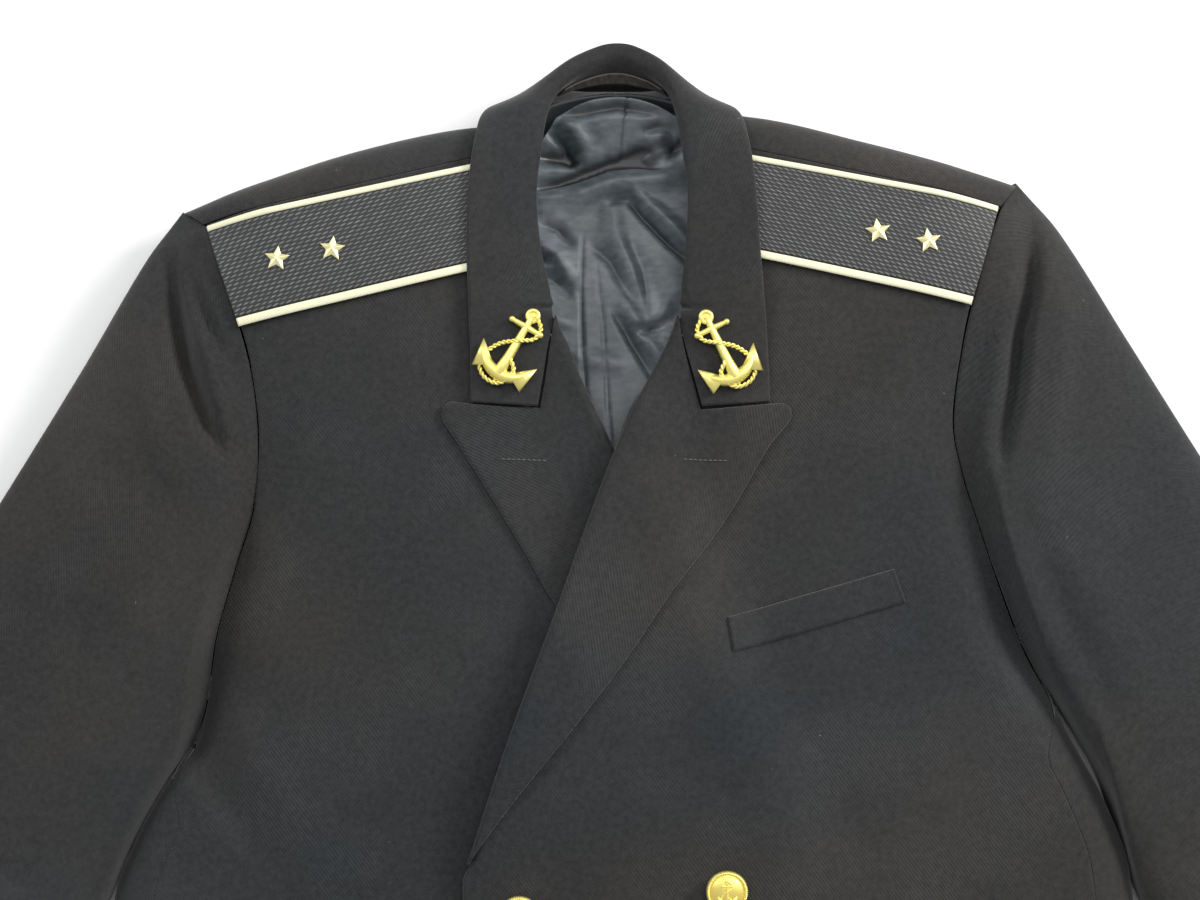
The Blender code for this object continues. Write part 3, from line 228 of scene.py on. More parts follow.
# Long folds of each sleeve from its head to its cuff: outer one, inner one, and its fullness
Sleeve = namedtuple("Sleeve", "outer inner crown outer_mid inner_mid")
SLEEVE_FOLDS = {
    RIGHT: [
        Sleeve((-243, 136), (-229, -160), 43, 20, 11),
        Sleeve((-262, 108), (-240, -176), 46, 20, 12),
        Sleeve((-296, 46), (-260, -213), 42, 18, 12),
        Sleeve((-340, -30), (-280, -263), 36, 15, 12),
        Sleeve((-414, -158), (-328, -345), 28, 12, 11),
        Sleeve((-487, -284), (-379, -414), 20, 9, 9),
        Sleeve((-553, -400), (-426, -476), 14, 7, 7),
    ],
    LEFT: [
        Sleeve((223, 153), (229, -125), 43, 20, 11),
        Sleeve((246, 124), (244, -150), 46, 20, 12),
        Sleeve((282, 63), (264.5, -190), 42, 18, 12),
        Sleeve((324, -8), (279.5, -246), 36, 15, 12),
        Sleeve((402, -138), (325, -328), 28, 12, 11),
        Sleeve((477, -264), (378, -397), 20, 9, 9),
        Sleeve((546, -380), (419, -456), 14, 7, 7),
    ],
}

# Soft folds: the points that a fold runs through, its height (a trough is below 0) and its
# half width. A fold with a lean is steeper on its far side.
Fold = namedtuple("Fold", "points height width lean")
FRONT_FOLDS = [
    Fold([(-236, -150), (-216, -185), (-190, -222)], -4.0, 10.0, 0.4),
    Fold([(-216, -130), (-190, -172), (-160, -205)], 1.8, 13.0, 0.0),
    Fold([(-205, -20), (-188, -70), (-186, -120)], 1.5, 16.0, 0.0),
    Fold([(205, -60), (222, -100), (240, -150)], -3.4, 10.0, -0.4),
    Fold([(182, 0), (184, -60), (206, -130)], 1.8, 17.0, 0.0),
    Fold([(60, -130), (110, -170), (160, -200)], 0.9, 24.0, 0.0),
    Fold([(-130, 40), (-120, -60), (-150, -160)], -0.9, 30.0, 0.0),
    Fold([(110, 40), (125, -30), (150, -60)], -0.8, 26.0, 0.0),
    Fold([(-60, -300), (-110, -400), (-120, -520)], -1.4, 26.0, 0.0),
    Fold([(130, -260), (150, -380), (140, -520)], -1.4, 28.0, 0.0),
    Fold([(200, -260), (215, -400), (230, -560)], 1.2, 22.0, 0.0),
    Fold([(-215, -260), (-210, -400), (-225, -560)], 1.2, 22.0, 0.0),
]
DARTS = [
    Fold([(-151, -174), (-149, -210), (-147, -330)], -0.55, 1.5, 0.0),
    Fold([(152, -158), (155, -200), (158, -330)], -0.55, 1.5, 0.0),
]
SLEEVE_FOLDS_BY_HAND = {
    RIGHT: [
        Fold([(-250, 112), (-243, 75), (-236, 42), (-223, 10), (-207, -10)], -15.0, 4.8, 0.35),
        Fold([(-240, 108), (-232, 72), (-217, 38)], 3.4, 4.6, 0.0),
        Fold([(-236.5, 97), (-225.5, 69), (-212, 46)], -9.0, 3.4, 0.3),
        Fold([(-262, 96), (-262, 50), (-250, 5), (-226, -30)], 2.6, 9.0, 0.0),
        Fold([(-262, -62), (-287, -100), (-300, -132)], -1.8, 10.0, 0.3),
        Fold([(-222, -66), (-240, -95), (-252, -108)], -1.8, 9.0, 0.3),
        Fold([(-240, -90), (-275, -140), (-292, -190)], 1.3, 14.0, 0.0),
        Fold([(-300, -238), (-345, -218), (-392, -190)], -2.6, 10.0, 0.4),
        Fold([(-292, -250), (-340, -240), (-380, -226)], 1.6, 9.0, 0.0),
        Fold([(-330, -290), (-380, -268), (-420, -236)], -2.2, 11.0, 0.3),
        Fold([(-352, -330), (-400, -318), (-450, -300)], -1.6, 12.0, 0.3),
        Fold([(-300, 20), (-345, -60), (-372, -130)], -1.2, 16.0, 0.0),
    ],
    LEFT: [
        Fold([(230, 130), (227, 90), (220, 62), (216, 32), (206, -8)], -15.5, 5.4, -0.35),
        Fold([(219, 126), (214, 88), (208, 60), (203, 30)], 2.4, 6.0, 0.0),
        Fold([(215, 74), (202, 61), (190, 51)], -8.5, 3.4, -0.3),
        Fold([(208, 42), (199, 32), (189, 24)], -4.4, 3.4, -0.3),
        Fold([(240, 112), (243, 70), (236, 20), (222, -30)], 2.8, 9.0, 0.0),
        Fold([(212, -40), (236, -90), (262, -150)], -3.4, 13.0, -0.3),
        Fold([(232, -30), (258, -90), (285, -150)], 2.2, 15.0, 0.0),
        Fold([(268, 20), (300, -60), (330, -130)], -1.2, 16.0, 0.0),
        Fold([(296, -222), (342, -200), (384, -172)], -2.6, 10.0, -0.4),
        Fold([(290, -236), (335, -222), (372, -206)], 1.6, 9.0, 0.0),
        Fold([(326, -272), (374, -250), (412, -216)], -2.2, 11.0, -0.3),
        Fold([(350, -314), (396, -300), (444, -282)], -1.6, 12.0, -0.3),
    ],
}
LINING_FOLDS = [
    Fold([(-46, 152), (-24, 158), (-4, 166), (12, 167), (26, 164)], -5.0, 3.4, 0.5),
    Fold([(-46, 146), (-22, 150), (0, 158), (20, 159), (38, 163)], 3.2, 5.5, -0.4),
    Fold([(-2, 144), (6, 146), (14, 136), (28, 121), (42, 108)], -4.2, 3.0, 0.5),
    Fold([(8, 152), (24, 138), (36, 126), (50, 116)], 2.8, 5.0, -0.3),
    Fold([(-2, 80), (8, 62), (20, 42)], -2.6, 2.8, 0.5),
    Fold([(4, 86), (16, 66), (26, 50)], 2.0, 4.6, 0.0),
    Fold([(-4, 148), (-2, 128), (8, 106), (6, 88)], 2.0, 6.0, 0.0),
    Fold([(6, 122), (14, 104), (18, 84)], -1.8, 3.2, 0.3),
    Fold([(-44, 132), (-34, 128), (-26, 118)], -2.4, 3.0, 0.4),
    Fold([(-46, 122), (-34, 114), (-24, 98)], 2.2, 4.5, 0.0),
    Fold([(-52, 104), (-38, 100), (-26, 90)], -1.8, 3.4, 0.3),
    Fold([(-48, 84), (-36, 78), (-24, 72)], 1.4, 4.6, 0.0),
    Fold([(-40, 186), (-30, 176), (-26, 166)], -2.4, 3.0, 0.3),
    Fold([(-32, 192), (-20, 180), (-14, 170)], 1.8, 4.6, 0.0),
    Fold([(28, 186), (22, 178), (30, 172)], 1.8, 4.4, 0.0),
    Fold([(40, 182), (30, 174), (18, 170)], -2.2, 3.2, 0.3),
    Fold([(12, 30), (6, 10), (2, -6)], -1.6, 3.0, 0.3),
    Fold([(-30, 60), (-16, 54), (4, 50)], 1.4, 6.0, 0.0),
    Fold([(30, 92), (24, 78), (30, 64)], 1.6, 5.5, 0.0),
    Fold([(-48, 172), (-34, 171), (-22, 168)], -3.4, 4.2, 0.0),
    Fold([(0, 170), (14, 175), (34, 179)], -3.6, 4.0, 0.0),
    Fold([(14, 186), (24, 188), (34, 186)], -2.6, 3.5, 0.0),
    Fold([(-34, 193), (0, 199), (30, 194)], -2.8, 3.6, 0.0),
    Fold([(-14, 119), (-4, 110), (3, 96), (9, 87)], -2.6, 3.2, 0.3),
    Fold([(8, 71), (18, 70), (30, 75)], -2.6, 3.6, 0.0),
    Fold([(-50, 118), (-44, 112), (-38, 112)], -3.0, 2.8, 0.0),
]
LINING_SEAMS = [
    Fold([(-20, 125), (-21.5, 93), (-20, 56), (-17.6, 20), (-15, -20)], -1.4, 0.9, 0.5),
    Fold([(-12.5, 110), (-9, 77), (-7, 45), (-4, 0)], -0.7, 0.8, 0.4),
    Fold([(6.6, 215), (4, 185), (2, 166)], -0.8, 0.9, 0.0),
]

# Corners of each shoulder strap: neck end then shoulder end, back edge then front edge
STRAPS = {
    RIGHT: ((-69, 158.6), (-227.3, 122.6), (-69, 97.2), (-206.6, 63.7)),
    LEFT: ((64, 163.2), (210.6, 134.0), (65, 104.2), (192.6, 76.0)),
}
STARS = {RIGHT: ((-186, 101), (-156, 106.5)), LEFT: ((142, 116.5), (169.5, 111))}
ANCHORS = {RIGHT: ((-46, 69.2), (-65.4, 36.2)), LEFT: ((48.5, 66.4), (62.9, 36.4))}
WELT = ((58.3, -93.8), (148.1, -67.8), (61.3, -112.6), (154.1, -85.7))
BUTTON_COLUMNS = (56.5, -52.0)
BUTTON_ROWS = (-237.0, -337.0, -437.0)
BUTTON_DROP = 13.0           # the inner column lies this much lower, as the front is turned


# Curves

def clamp(t):
    return min(max(t, 0.0), 1.0)


def smooth(t):
    t = clamp(t)
    return t * t * (3.0 - 2.0 * t)


def mix(a, b, t):
    return a + (b - a) * t


def hermite(a, slope_a, b, slope_b, t):
    """Between two values, with the slopes that it has there over the whole step."""
    return (a * ((1 + 2 * t) * (1 - t) ** 2) + slope_a * (t * (1 - t) ** 2)
            + b * (t * t * (3 - 2 * t)) + slope_b * (t * t * (t - 1)))


def step_of(marks, value):
    """The step of a rising list that a value lies in, and its share of that step."""
    i = 0
    while i < len(marks) - 2 and value > marks[i + 1]:
        i += 1
    return i, (value - marks[i]) / (marks[i + 1] - marks[i])


def through(marks, values, slopes):
    """The smooth function through values at marks."""
    def at(x):
        i, t = step_of(marks, min(max(x, marks[0]), marks[-1]))
        span = marks[i + 1] - marks[i]
        return hermite(values[i], slopes[i] * span, values[i + 1], slopes[i + 1] * span, t)

    return at


def track(rows, key, value):
    """A smooth function through the rows of a table that never swings past them."""
    points = sorted((getattr(row, key), getattr(row, value)) for row in rows)
    steps = [(b[1] - a[1]) / (b[0] - a[0]) for a, b in zip(points, points[1:])]
    slopes = [steps[0]]
    for before, after in zip(steps, steps[1:]):
        slopes.append(0.0 if before * after <= 0 else 2 * before * after / (before + after))
    return through([p[0] for p in points], [p[1] for p in points], slopes + [steps[-1]])


def length_shares(points):
    """Each point's share of the length of the line through them."""
    marks = [0.0]
    for a, b in zip(points, points[1:]):
        marks.append(marks[-1] + (b - a).length)
    return [mark / marks[-1] for mark in marks]


def curve(points, shares=None):
    """A smooth curve through points, read by its share of the length or by given shares."""
    points = [Vector(p) for p in points]
    shares = shares or length_shares(points)
    slopes = []
    for i in range(len(points)):
        low = max(i - 1, 0)
        high = min(i + 1, len(points) - 1)
        slopes.append((points[high] - points[low]) / (shares[high] - shares[low]))
    return through(shares, points, slopes)


def polyline(points):
    """A line with corners through points, read by its share of the length."""
    shares = length_shares(points)

    def at(t):
        i, share = step_of(shares, clamp(t))
        return points[i].lerp(points[i + 1], share)

    return at


def bezier(a, b, c, d, t):
    s = 1.0 - t
    return a * s ** 3 + b * 3 * s * s * t + c * 3 * s * t * t + d * t ** 3


def coons(bottom, top, start, end, u, v):
    """A sheet that four boundary curves span: start and end lie at u = 0 and u = 1."""
    ruled = bottom(u) * (1 - v) + top(u) * v + start(v) * (1 - u) + end(v) * u
    low = bottom(0) * (1 - u) + bottom(1) * u
    high = top(0) * (1 - u) + top(1) * u
    return ruled - low * (1 - v) - high * v


# The laid jacket's form

CROWN = {name: track(CROWNS, "y", name) for name in ("right", "middle", "left")}
EDGE_X, EDGE_Z = ({side: track(EDGES[side], "y", key) for side in SIDES} for key in "xz")
NECK_X, ROLL_X = ({side: track(rows[side], "y", "x") for side in SIDES}
                  for rows in (NECKS, ROLLS))
LEAN = track(LEANS, "y", "x")


def front_top(x, y):
    """Height of the outer face of a front that lies on nothing but the back."""
    side = RIGHT if x < 0 else LEFT
    chest = CROWN[SIDES[side]](y)
    crown = mix(CROWN["middle"](y), chest, smooth(abs(x) / 120.0))
    inward = (EDGE_X[side](y) - x) * side
    rounding = smooth((UNDERARM_Y[side] + 40.0 - y) / 60.0)
    share = clamp(inward / mix(45.0, SHOULDER_TURN, rounding))
    rise = (1.0 - (1.0 - share) ** 2) ** mix(1.0, 0.5, rounding)
    return EDGE_Z[side](y) + (crown - EDGE_Z[side](y)) * rise


def over_lift(x, y):
    """How far the over front is carried by the under front and its lapel."""
    inside = smooth((max(ROLL_X[RIGHT](y), 0.0) + 48.0 - x) / 48.0)
    below = smooth((58.0 - y) / 46.0)
    return inside * below * mix(10.4, 3.6, smooth((-y - 203.0) / 75.0))


def side_turn(side, y, at_armhole, below):
    """Angle round the side fold of a seam of the side panel."""
    return math.radians(mix(at_armhole, below, smooth((UNDERARM_Y[side] - y) / 50.0)))


def seam_turn(side, y):
    return side_turn(side, y, 10.0, 78.0)


def under_turn(side, y):
    """The same for the seam with the back, measured round its underside."""
    return side_turn(side, y, 50.0, 87.0)


def below_armhole(side, y):
    """1 below the underarm, falling to 0 a little above it."""
    return smooth((UNDERARM_Y[side] + 15.0 - y) / 15.0)


def side_seam_x(side, y):
    if y >= UNDERARM_Y[side]:
        return EDGE_X[side](y)
    return EDGE_X[side](y) - side * SHOULDER_TURN * (1.0 - math.cos(seam_turn(side, y)))


# Soft forms that the solids only hint at

def with_reach(folds):
    """Each fold with the box outside of which it can't be felt."""
    rows = []
    for fold in folds:
        points = [Vector(p) for p in fold.points]
        reach = 3.0 * fold.width
        low = (min(p.x for p in points) - reach, min(p.y for p in points) - reach)
        high = (max(p.x for p in points) + reach, max(p.y for p in points) + reach)
        steps = [(b - a) for a, b in zip(points, points[1:])]
        total = sum(step.length for step in steps)
        rows.append((fold, points, steps, total, low, high))
    return rows


def fold_lift(rows, x, y):
    """How far the folds of a table lift the cloth at a place, or sink it."""
    lift = 0.0
    for fold, points, steps, total, low, high in rows:
        if not (low[0] < x < high[0] and low[1] < y < high[1]):
            continue
        nearest = None
        behind = 0.0
        for start, step in zip(points, steps):
            ax = x - start.x
            ay = y - start.y
            span = step.length
            share = clamp((ax * step.x + ay * step.y) / (span * span))
            away = math.hypot(ax - step.x * share, ay - step.y * share)
            if nearest is None or away < nearest[0]:
                turn = (step.x * ay - step.y * ax) / (span * max(away, 0.001))
                nearest = (away, turn, (behind + share * span) / total)
            behind += span
        away, turn, along = nearest
        width = fold.width * (1.0 + fold.lean * min(max(turn, -1.0), 1.0))
        fade = 0.25 + 0.75 * math.sin(math.pi * clamp(along)) ** 0.7
        lift += fold.height * fade * math.exp(-(away / width) ** 2)
    return lift


FRONT_REACH = with_reach(FRONT_FOLDS + DARTS)
SLEEVE_REACH = {side: with_reach(SLEEVE_FOLDS_BY_HAND[side]) for side in SIDES}
LINING_REACH = with_reach(LINING_FOLDS + LINING_SEAMS)


def waver(x, y):
    """The slight unevenness of pressed wool that lies on a table."""
    slow = math.sin(x / 41.0 + 1.3 * math.sin(y / 63.0)) * math.sin(y / 57.0 + 0.8)
    quick = math.sin(x / 17.0 + y / 23.0) * math.sin(y / 15.0 - x / 29.0)
    return 0.42 * slow + 0.12 * quick


def laid(side, x, y):
    """Outer face of a front with its soft folds."""
    carried = over_lift(x, y) if side == LEFT else 0.0
    return front_top(x, y) + carried + fold_lift(FRONT_REACH, x, y) + waver(x, y)


def edge_drop(inset, radius):
    """How far cloth has turned down at a distance inside its edge."""
    if inset >= radius:
        return 0.0
    over = 1.0 - max(inset, 0.0) / radius
    return radius * (1.0 - math.sqrt(1.0 - over * over))


def fine(length, step, start=True, end=True):
    """Stops along a length in millimetres, close together at the ends that are turned."""
    close = (0.35, 0.9, 1.6, 2.5)
    low = [0.0] + (list(close) if start else [])
    high = [length] + ([length - c for c in close] if end else [])
    first = low[-1]
    last = min(high)
    count = max(int(round((last - first) / step)), 1)
    middle = [mix(first, last, i / count) for i in range(1, count)]
    return [s / length for s in sorted(set(low + middle + high))]


# Shader values

def maths(operation, swapped=False):
    """A method of Mark that works two values out with a Math node."""
    def method(self, other):
        first, second = (other, self) if swapped else (self, other)
        return self.finish.node("Math", {"operation": operation}, {0: first, 1: second})

    return method


class Mark:
    """A value of a shader that sums and products can be written with."""

    def __init__(self, finish, socket):
        self.finish = finish
        self.socket = socket

    __add__ = maths("ADD")
    __radd__ = maths("ADD", swapped=True)
    __sub__ = maths("SUBTRACT")
    __rsub__ = maths("SUBTRACT", swapped=True)
    __mul__ = maths("MULTIPLY")
    __rmul__ = maths("MULTIPLY", swapped=True)
    __truediv__ = maths("DIVIDE")
    at_most = maths("MINIMUM")
    at_least = maths("MAXIMUM")

    def out(self, name):
        return Mark(self.finish, self.socket.node.outputs[name])

    def call(self, operation):
        return self.finish.node("Math", {"operation": operation}, {0: self})

    def clipped(self):
        return self.at_least(0.0).at_most(1.0)

    def threads(self, pitch, shift=None):
        """Waves from 0 to 1, one for each thread; a shift makes them uneven."""
        turn = self * (2 * math.pi / pitch)
        if shift is not None:
            turn = turn + shift
        return turn.call("SINE") * 0.5 + 0.5


class Finish:
    """A material with a Principled shader, and a short way to add nodes to it."""

    def __init__(self, name, roughness, metallic=0.0, **even):
        self.material = bpy.data.materials.new(name)
        self.material.use_nodes = True
        self.nodes = self.material.node_tree.nodes
        self.links = self.material.node_tree.links
        self.shader = self.nodes["Principled BSDF"]
        self.shader.inputs["Roughness"].default_value = roughness
        self.shader.inputs["Metallic"].default_value = metallic
        for key, value in even.items():
            label = key.replace("_", " ").title().replace("Ior", "IOR")
            self.shader.inputs[label].default_value = value

    def node(self, kind, settings=None, values=None):
        made = self.nodes.new("ShaderNode" + kind)
        for key, value in (settings or {}).items():
            if key == "stops":
                self.set_stops(made.color_ramp, value)
            else:
                setattr(made, key, value)
        for key, value in (values or {}).items():
            self.feed(made.inputs[key], value)
        return Mark(self, made.outputs[0])

    def set_stops(self, ramp, stops):
        while len(ramp.elements) < len(stops):
            ramp.elements.new(0.5)
        for element, (position, colour) in zip(ramp.elements, stops):
            element.position = position
            element.color = (*colour, 1.0)

    def feed(self, socket, value):
        if isinstance(value, Mark):
            self.links.new(value.socket, socket)
        elif isinstance(value, (tuple, list)) and socket.type == "RGBA":
            socket.default_value = (*value, 1.0)
        else:
            socket.default_value = value

    def blend(self, share, first, second, way="MIX"):
        """A colour between two, by a share."""
        made = self.node("Mix", {"data_type": "RGBA", "blend_type": way})
        node = made.socket.node
        self.feed(node.inputs[0], share)
        self.feed(node.inputs[6], first)
        self.feed(node.inputs[7], second)
        return Mark(self, node.outputs[2])

    def noise(self, scale, detail=3.0, where=None, stretch=None):
        """Cloudy values from 0 to 1; scale is in clouds a metre."""
        if where is None:
            where = self.node("TexCoord").out("Object")
        if stretch:
            where = self.node("Mapping", {}, {"Vector": where, "Scale": stretch})
        return self.node("TexNoise", {}, {"Vector": where, "Scale": scale, "Detail": detail})

    def weave(self):
        """The cloth's own place in millimetres: across and along its grain."""
        flat = self.node("UVMap", {"uv_map": "cloth"})
        both = self.node("SeparateXYZ", {}, {0: flat})
        return flat, both.out("X") * 1000.0, both.out("Y") * 1000.0

    def bump(self, height, depth, strength=1.0):
        """Relief of a height from 0 to 1, its depth in millimetres."""
        made = self.node("Bump", {}, {"Height": height, "Distance": depth * MM,
                                      "Strength": strength})
        self.feed(self.shader.inputs["Normal"], made)

    def colour(self, value):
        self.feed(self.shader.inputs["Base Color"], value)

    def rough(self, value):
        self.feed(self.shader.inputs["Roughness"], value)


def wool_finish():
    """Black wool twill: fine slanting ribs under a short nap, with a little lint."""
    f = Finish("black_wool_twill", 0.86, sheen_weight=0.16, sheen_roughness=0.45,
               specular_ior_level=0.22)
    flat, x, y = f.weave()
    fuzz = f.noise(900.0, 4.0)
    mottle = f.noise(330.0, 3.0)
    cloud = f.noise(9.0, 4.0)
    patch = f.noise(3.1, 2.0)
    worn = (f.noise(15.0, 3.0) * 5.0 - 2.4).clipped()
    rib = (x * 0.80 + y * 0.60).threads(1.6, fuzz * 3.0)
    yarn = (x * -0.60 + y * 0.80).threads(1.1, fuzz * 3.4)
    cool_or_warm = f.node("ValToRGB", {"stops": [(0.38, (0.0222, 0.0256, 0.0286)),
                                                 (0.50, (0.0250, 0.0254, 0.0262)),
                                                 (0.61, (0.0290, 0.0266, 0.0248))]},
                          {"Fac": patch * 0.6 + cloud * 0.4})
    shade = (rib * (0.10 + worn * 0.44) + fuzz * 0.70 + cloud * 0.60 + yarn * 0.16
             + mottle * 1.0 - 0.34)
    grey = f.node("CombineColor", {}, {0: shade, 1: shade, 2: shade})
    cloth = f.blend(1.0, cool_or_warm, grey, "MULTIPLY")
    specks = f.node("TexVoronoi", {}, {"Vector": flat, "Scale": 95.0, "Randomness": 1.0})
    rare = f.noise(60.0, 1.0)
    lint = ((0.045 - specks) * 60.0).clipped() * ((rare - 0.60) * 14.0).clipped()
    f.colour(f.blend(lint * 0.7, cloth, (0.20, 0.20, 0.19)))
    f.rough(0.80 + fuzz * 0.14)
    f.bump(rib * (0.14 + worn * 0.4) + yarn * 0.15 + fuzz * 0.45, 0.22, 0.9)
    return f.material


def inside_finish():
    """Dark satin that the coat is lined with where hem and cuffs show it."""
    f = Finish("body_lining_satin", 0.42, sheen_weight=0.1, specular_ior_level=0.45)
    _, _, y = f.weave()
    cloud = f.noise(14.0, 3.0)
    thread = y.threads(0.5)
    f.colour(f.blend(cloud, (0.016, 0.020, 0.023), (0.030, 0.036, 0.041)))
    f.bump(thread, 0.03, 0.5)
    return f.material


def satin_finish():
    """Blue-grey satin of the back lining, with a faint warp, soft clouds of painted sheen in its
    colour, and painted shade in its folds.
    """
    f = Finish("back_lining_satin", 0.36, sheen_weight=0.22, sheen_roughness=0.35,
               specular_ior_level=0.55)
    flat, x, y = f.weave()
    cloud = f.noise(22.0, 4.0)
    streak = f.noise(60.0, 3.0, flat, (2.4, 5.0, 1.0))
    warp = x.threads(0.55)
    weft = y.threads(0.75)
    # The ramp mixes random tone with painted sheen: its light end stands in for the satin's sheen.
    tone_and_sheen = f.node("ValToRGB", {"stops": [(0.34, (0.026, 0.040, 0.046)),
                                         (0.50, (0.082, 0.100, 0.110)),
                                         (0.64, (0.150, 0.165, 0.190))]},
                  {"Fac": cloud * 0.6 + streak * 0.4})
    # Painted shade: the colour is darkened to near black where the lining lies deep in a fold, by
    # the share that make_lining stores for each vertex.
    fold_shade = f.node("SeparateXYZ", {}, {0: f.node("UVMap", {"uv_map": "hollow"})}).out("X")
    # Painted highlight: the warp threads are painted a little lighter, as their sheen.
    lit = f.blend(warp * 0.16, tone_and_sheen, (0.17, 0.19, 0.20))
    f.colour(f.blend(fold_shade, lit, (0.006, 0.007, 0.008)))
    f.rough(0.30 + streak * 0.14 + cloud * 0.06)
    f.bump(warp * 0.6 + weft * 0.4, 0.035, 0.6)
    return f.material


def tape_finish():
    """Brown-grey satin tape below the collar's stand."""
    f = Finish("neck_tape_satin", 0.40, specular_ior_level=0.5)
    _, x, _ = f.weave()
    cloud = f.noise(26.0, 3.0)
    rib = x.threads(1.1)
    f.colour(f.blend(cloud, (0.038, 0.032, 0.031), (0.085, 0.074, 0.072)))
    f.rough(0.32 + cloud * 0.2)
    f.bump(rib, 0.08, 0.6)
    return f.material


def galloon_finish():
    """Black braid of the shoulder straps: its short raised floats are painted light grey, a
    painted highlight where they would catch the light.
    """
    f = Finish("strap_galloon_braid", 0.52, sheen_weight=0.1, specular_ior_level=0.5)
    _, x, y = f.weave()
    row = y / FLOAT_WIDTH
    line = row.call("FLOOR")
    along = x / FLOAT_LENGTH + line * 0.5
    number = along.call("FLOOR")
    reach = along - number - 0.5
    across = (row - line - 0.5 + reach * FLOAT_SLANT).call("ABSOLUTE")
    chance = ((number * 12.99 + line * 4.14).call("SINE") * 43.7).call("FRACT")
    raised_and_highlit = (1.0 - across * FLOAT_SIDE_FALL - reach * reach * FLOAT_END_FALL).clipped()
    thread = (x * 0.35 + y).threads(0.42)
    fuzz = f.noise(700.0, 3.0)
    # Painted highlight: each raised float gets a light grey colour, uneven from float to float, on
    # the black ground; the same mask also gives the relief.
    f.colour(f.blend(raised_and_highlit * (0.35 + fuzz * 0.4 + chance * 0.5), (0.017, 0.018, 0.019),
                     (0.21, 0.215, 0.205)))
    f.rough(0.62 - raised_and_highlit * 0.26)
    f.bump(raised_and_highlit * 0.8 + thread * 0.2, 0.22, 0.8)
    return f.material


def cord_finish():
    """Cream cord along the straps' edges, closely twisted."""
    f = Finish("cream_cord", 0.70, sheen_weight=0.2, specular_ior_level=0.35)
    _, x, y = f.weave()
    twist = (x + y * 1.4).threads(1.5)
    fuzz = f.noise(600.0, 3.0)
    f.colour(f.blend(twist * 0.5 + fuzz * 0.4, (0.76, 0.73, 0.47), (0.94, 0.93, 0.72)))
    f.bump(twist, 0.22, 0.5)
    return f.material


def gilt_finish(name, bright, deep, roughness):
    """Gilt metal: brighter on what is rubbed, a little brown where it lies deep."""
    f = Finish(name, roughness, 0.9)
    cloud = f.noise(420.0, 3.0)
    worn = f.node("NewGeometry").out("Pointiness")
    high = ((worn - 0.46) * 9.0).clipped()
    f.colour(f.blend((high * 0.75 + cloud * 0.35).at_most(1.0), deep, bright))
    f.rough(roughness + 0.16 * cloud)
    f.bump(f.noise(1500.0, 2.0), 0.02, 0.35)
    return f.material


def thread_finish():
    """Grey thread of the lapels' hand-made buttonhole marks."""
    f = Finish("buttonhole_thread", 0.7, sheen_weight=0.2)
    fuzz = f.noise(1800.0, 2.0)
    f.colour(f.blend(fuzz, (0.07, 0.07, 0.075), (0.17, 0.17, 0.175)))
    f.bump(fuzz, 0.05, 0.5)
    return f.material


def table_finish():
    f = Finish("pale_table", 0.9, specular_ior_level=0.1)
    f.colour(f.blend(f.noise(3.0, 2.0), (0.86, 0.86, 0.86), (0.90, 0.90, 0.90)))
    return f.material


FLOAT_LENGTH = 4.2           # the braid's raised floats, laid like bricks
FLOAT_WIDTH = 2.3
FLOAT_SLANT = -0.45
FLOAT_SIDE_FALL = 3.4        # how fast a float falls off to its sides and its ends
FLOAT_END_FALL = 2.7
WOOL = wool_finish()
INSIDE = inside_finish()
SATIN = satin_finish()
TAPE = tape_finish()
GALLOON = galloon_finish()
CORD = cord_finish()
GILT = gilt_finish("gilt_badge", (1.0, 0.90, 0.30), (0.95, 0.68, 0.11), 0.36)
STAR_GILT = gilt_finish("gilt_star", (1.0, 0.96, 0.62), (1.0, 0.86, 0.40), 0.42)
THREAD = thread_finish()


# Making the pieces

def place(point):
    """A point of the jacket in millimetres, in metres from the middle of its box."""
    return (Vector(point) - CENTRE) * MM


def put_in_scene(name, data):
    made = bpy.data.objects.new(name, data)
    bpy.context.scene.collection.objects.link(made)
    return made


def mesh_of(form, name):
    mesh = bpy.data.meshes.new(name)
    form.to_mesh(mesh)
    form.free()
    return mesh


def finish_piece(name, mesh, material, node=None):
    """Put a mesh in the scene as a piece of the jacket."""
    piece = put_in_scene(name, mesh)
    mesh.materials.append(material)
    if node is not None:
        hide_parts(node)
    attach(piece, "root")
    return piece


def shell(name, across, along, point, material, grain=None, flip=False, thick=1.4,
          inside=None, hollow=None):
    """A wall of cloth on a node's form: point(u, v) gives its outer face, and an optional function
    gives each place a share of painted shade, kept in a second UV map.
    """
    form = bmesh.new()
    bmesh.ops.create_grid(form, x_segments=len(across) - 1, y_segments=len(along) - 1, size=0.5)
    cloth = form.loops.layers.uv.new("cloth")
    shade_layer = form.loops.layers.uv.new("hollow") if hollow is not None else None
    spots = {}
    shades = {}
    for vertex in form.verts:
        u = across[round((vertex.co.x + 0.5) * (len(across) - 1))]
        v = along[round((vertex.co.y + 0.5) * (len(along) - 1))]
        spot = point(u, v)
        vertex.co = place(spot)
        spots[vertex] = Vector((spot.x, spot.y)) if grain is None else Vector(grain(u, v))
        shades[vertex] = hollow(spot.x, spot.y) if hollow is not None else 0.0
    for face in form.faces:
        for loop in face.loops:
            loop[cloth].uv = spots[loop.vert] * MM
            if hollow is not None:
                loop[shade_layer].uv = (shades[loop.vert], 0.0)
    if flip:
        bmesh.ops.reverse_faces(form, faces=form.faces)
    mesh = mesh_of(form, name)
    mesh.shade_smooth()
    piece = finish_piece(name + "_cloth", mesh, material, name)
    wall = piece.modifiers.new("wall", "SOLIDIFY")
    wall.thickness = thick * MM
    wall.offset = -1.0
    if inside is not None:
        mesh.materials.append(inside)
        wall.material_offset = 1
    return piece


# Fronts, back and side panels

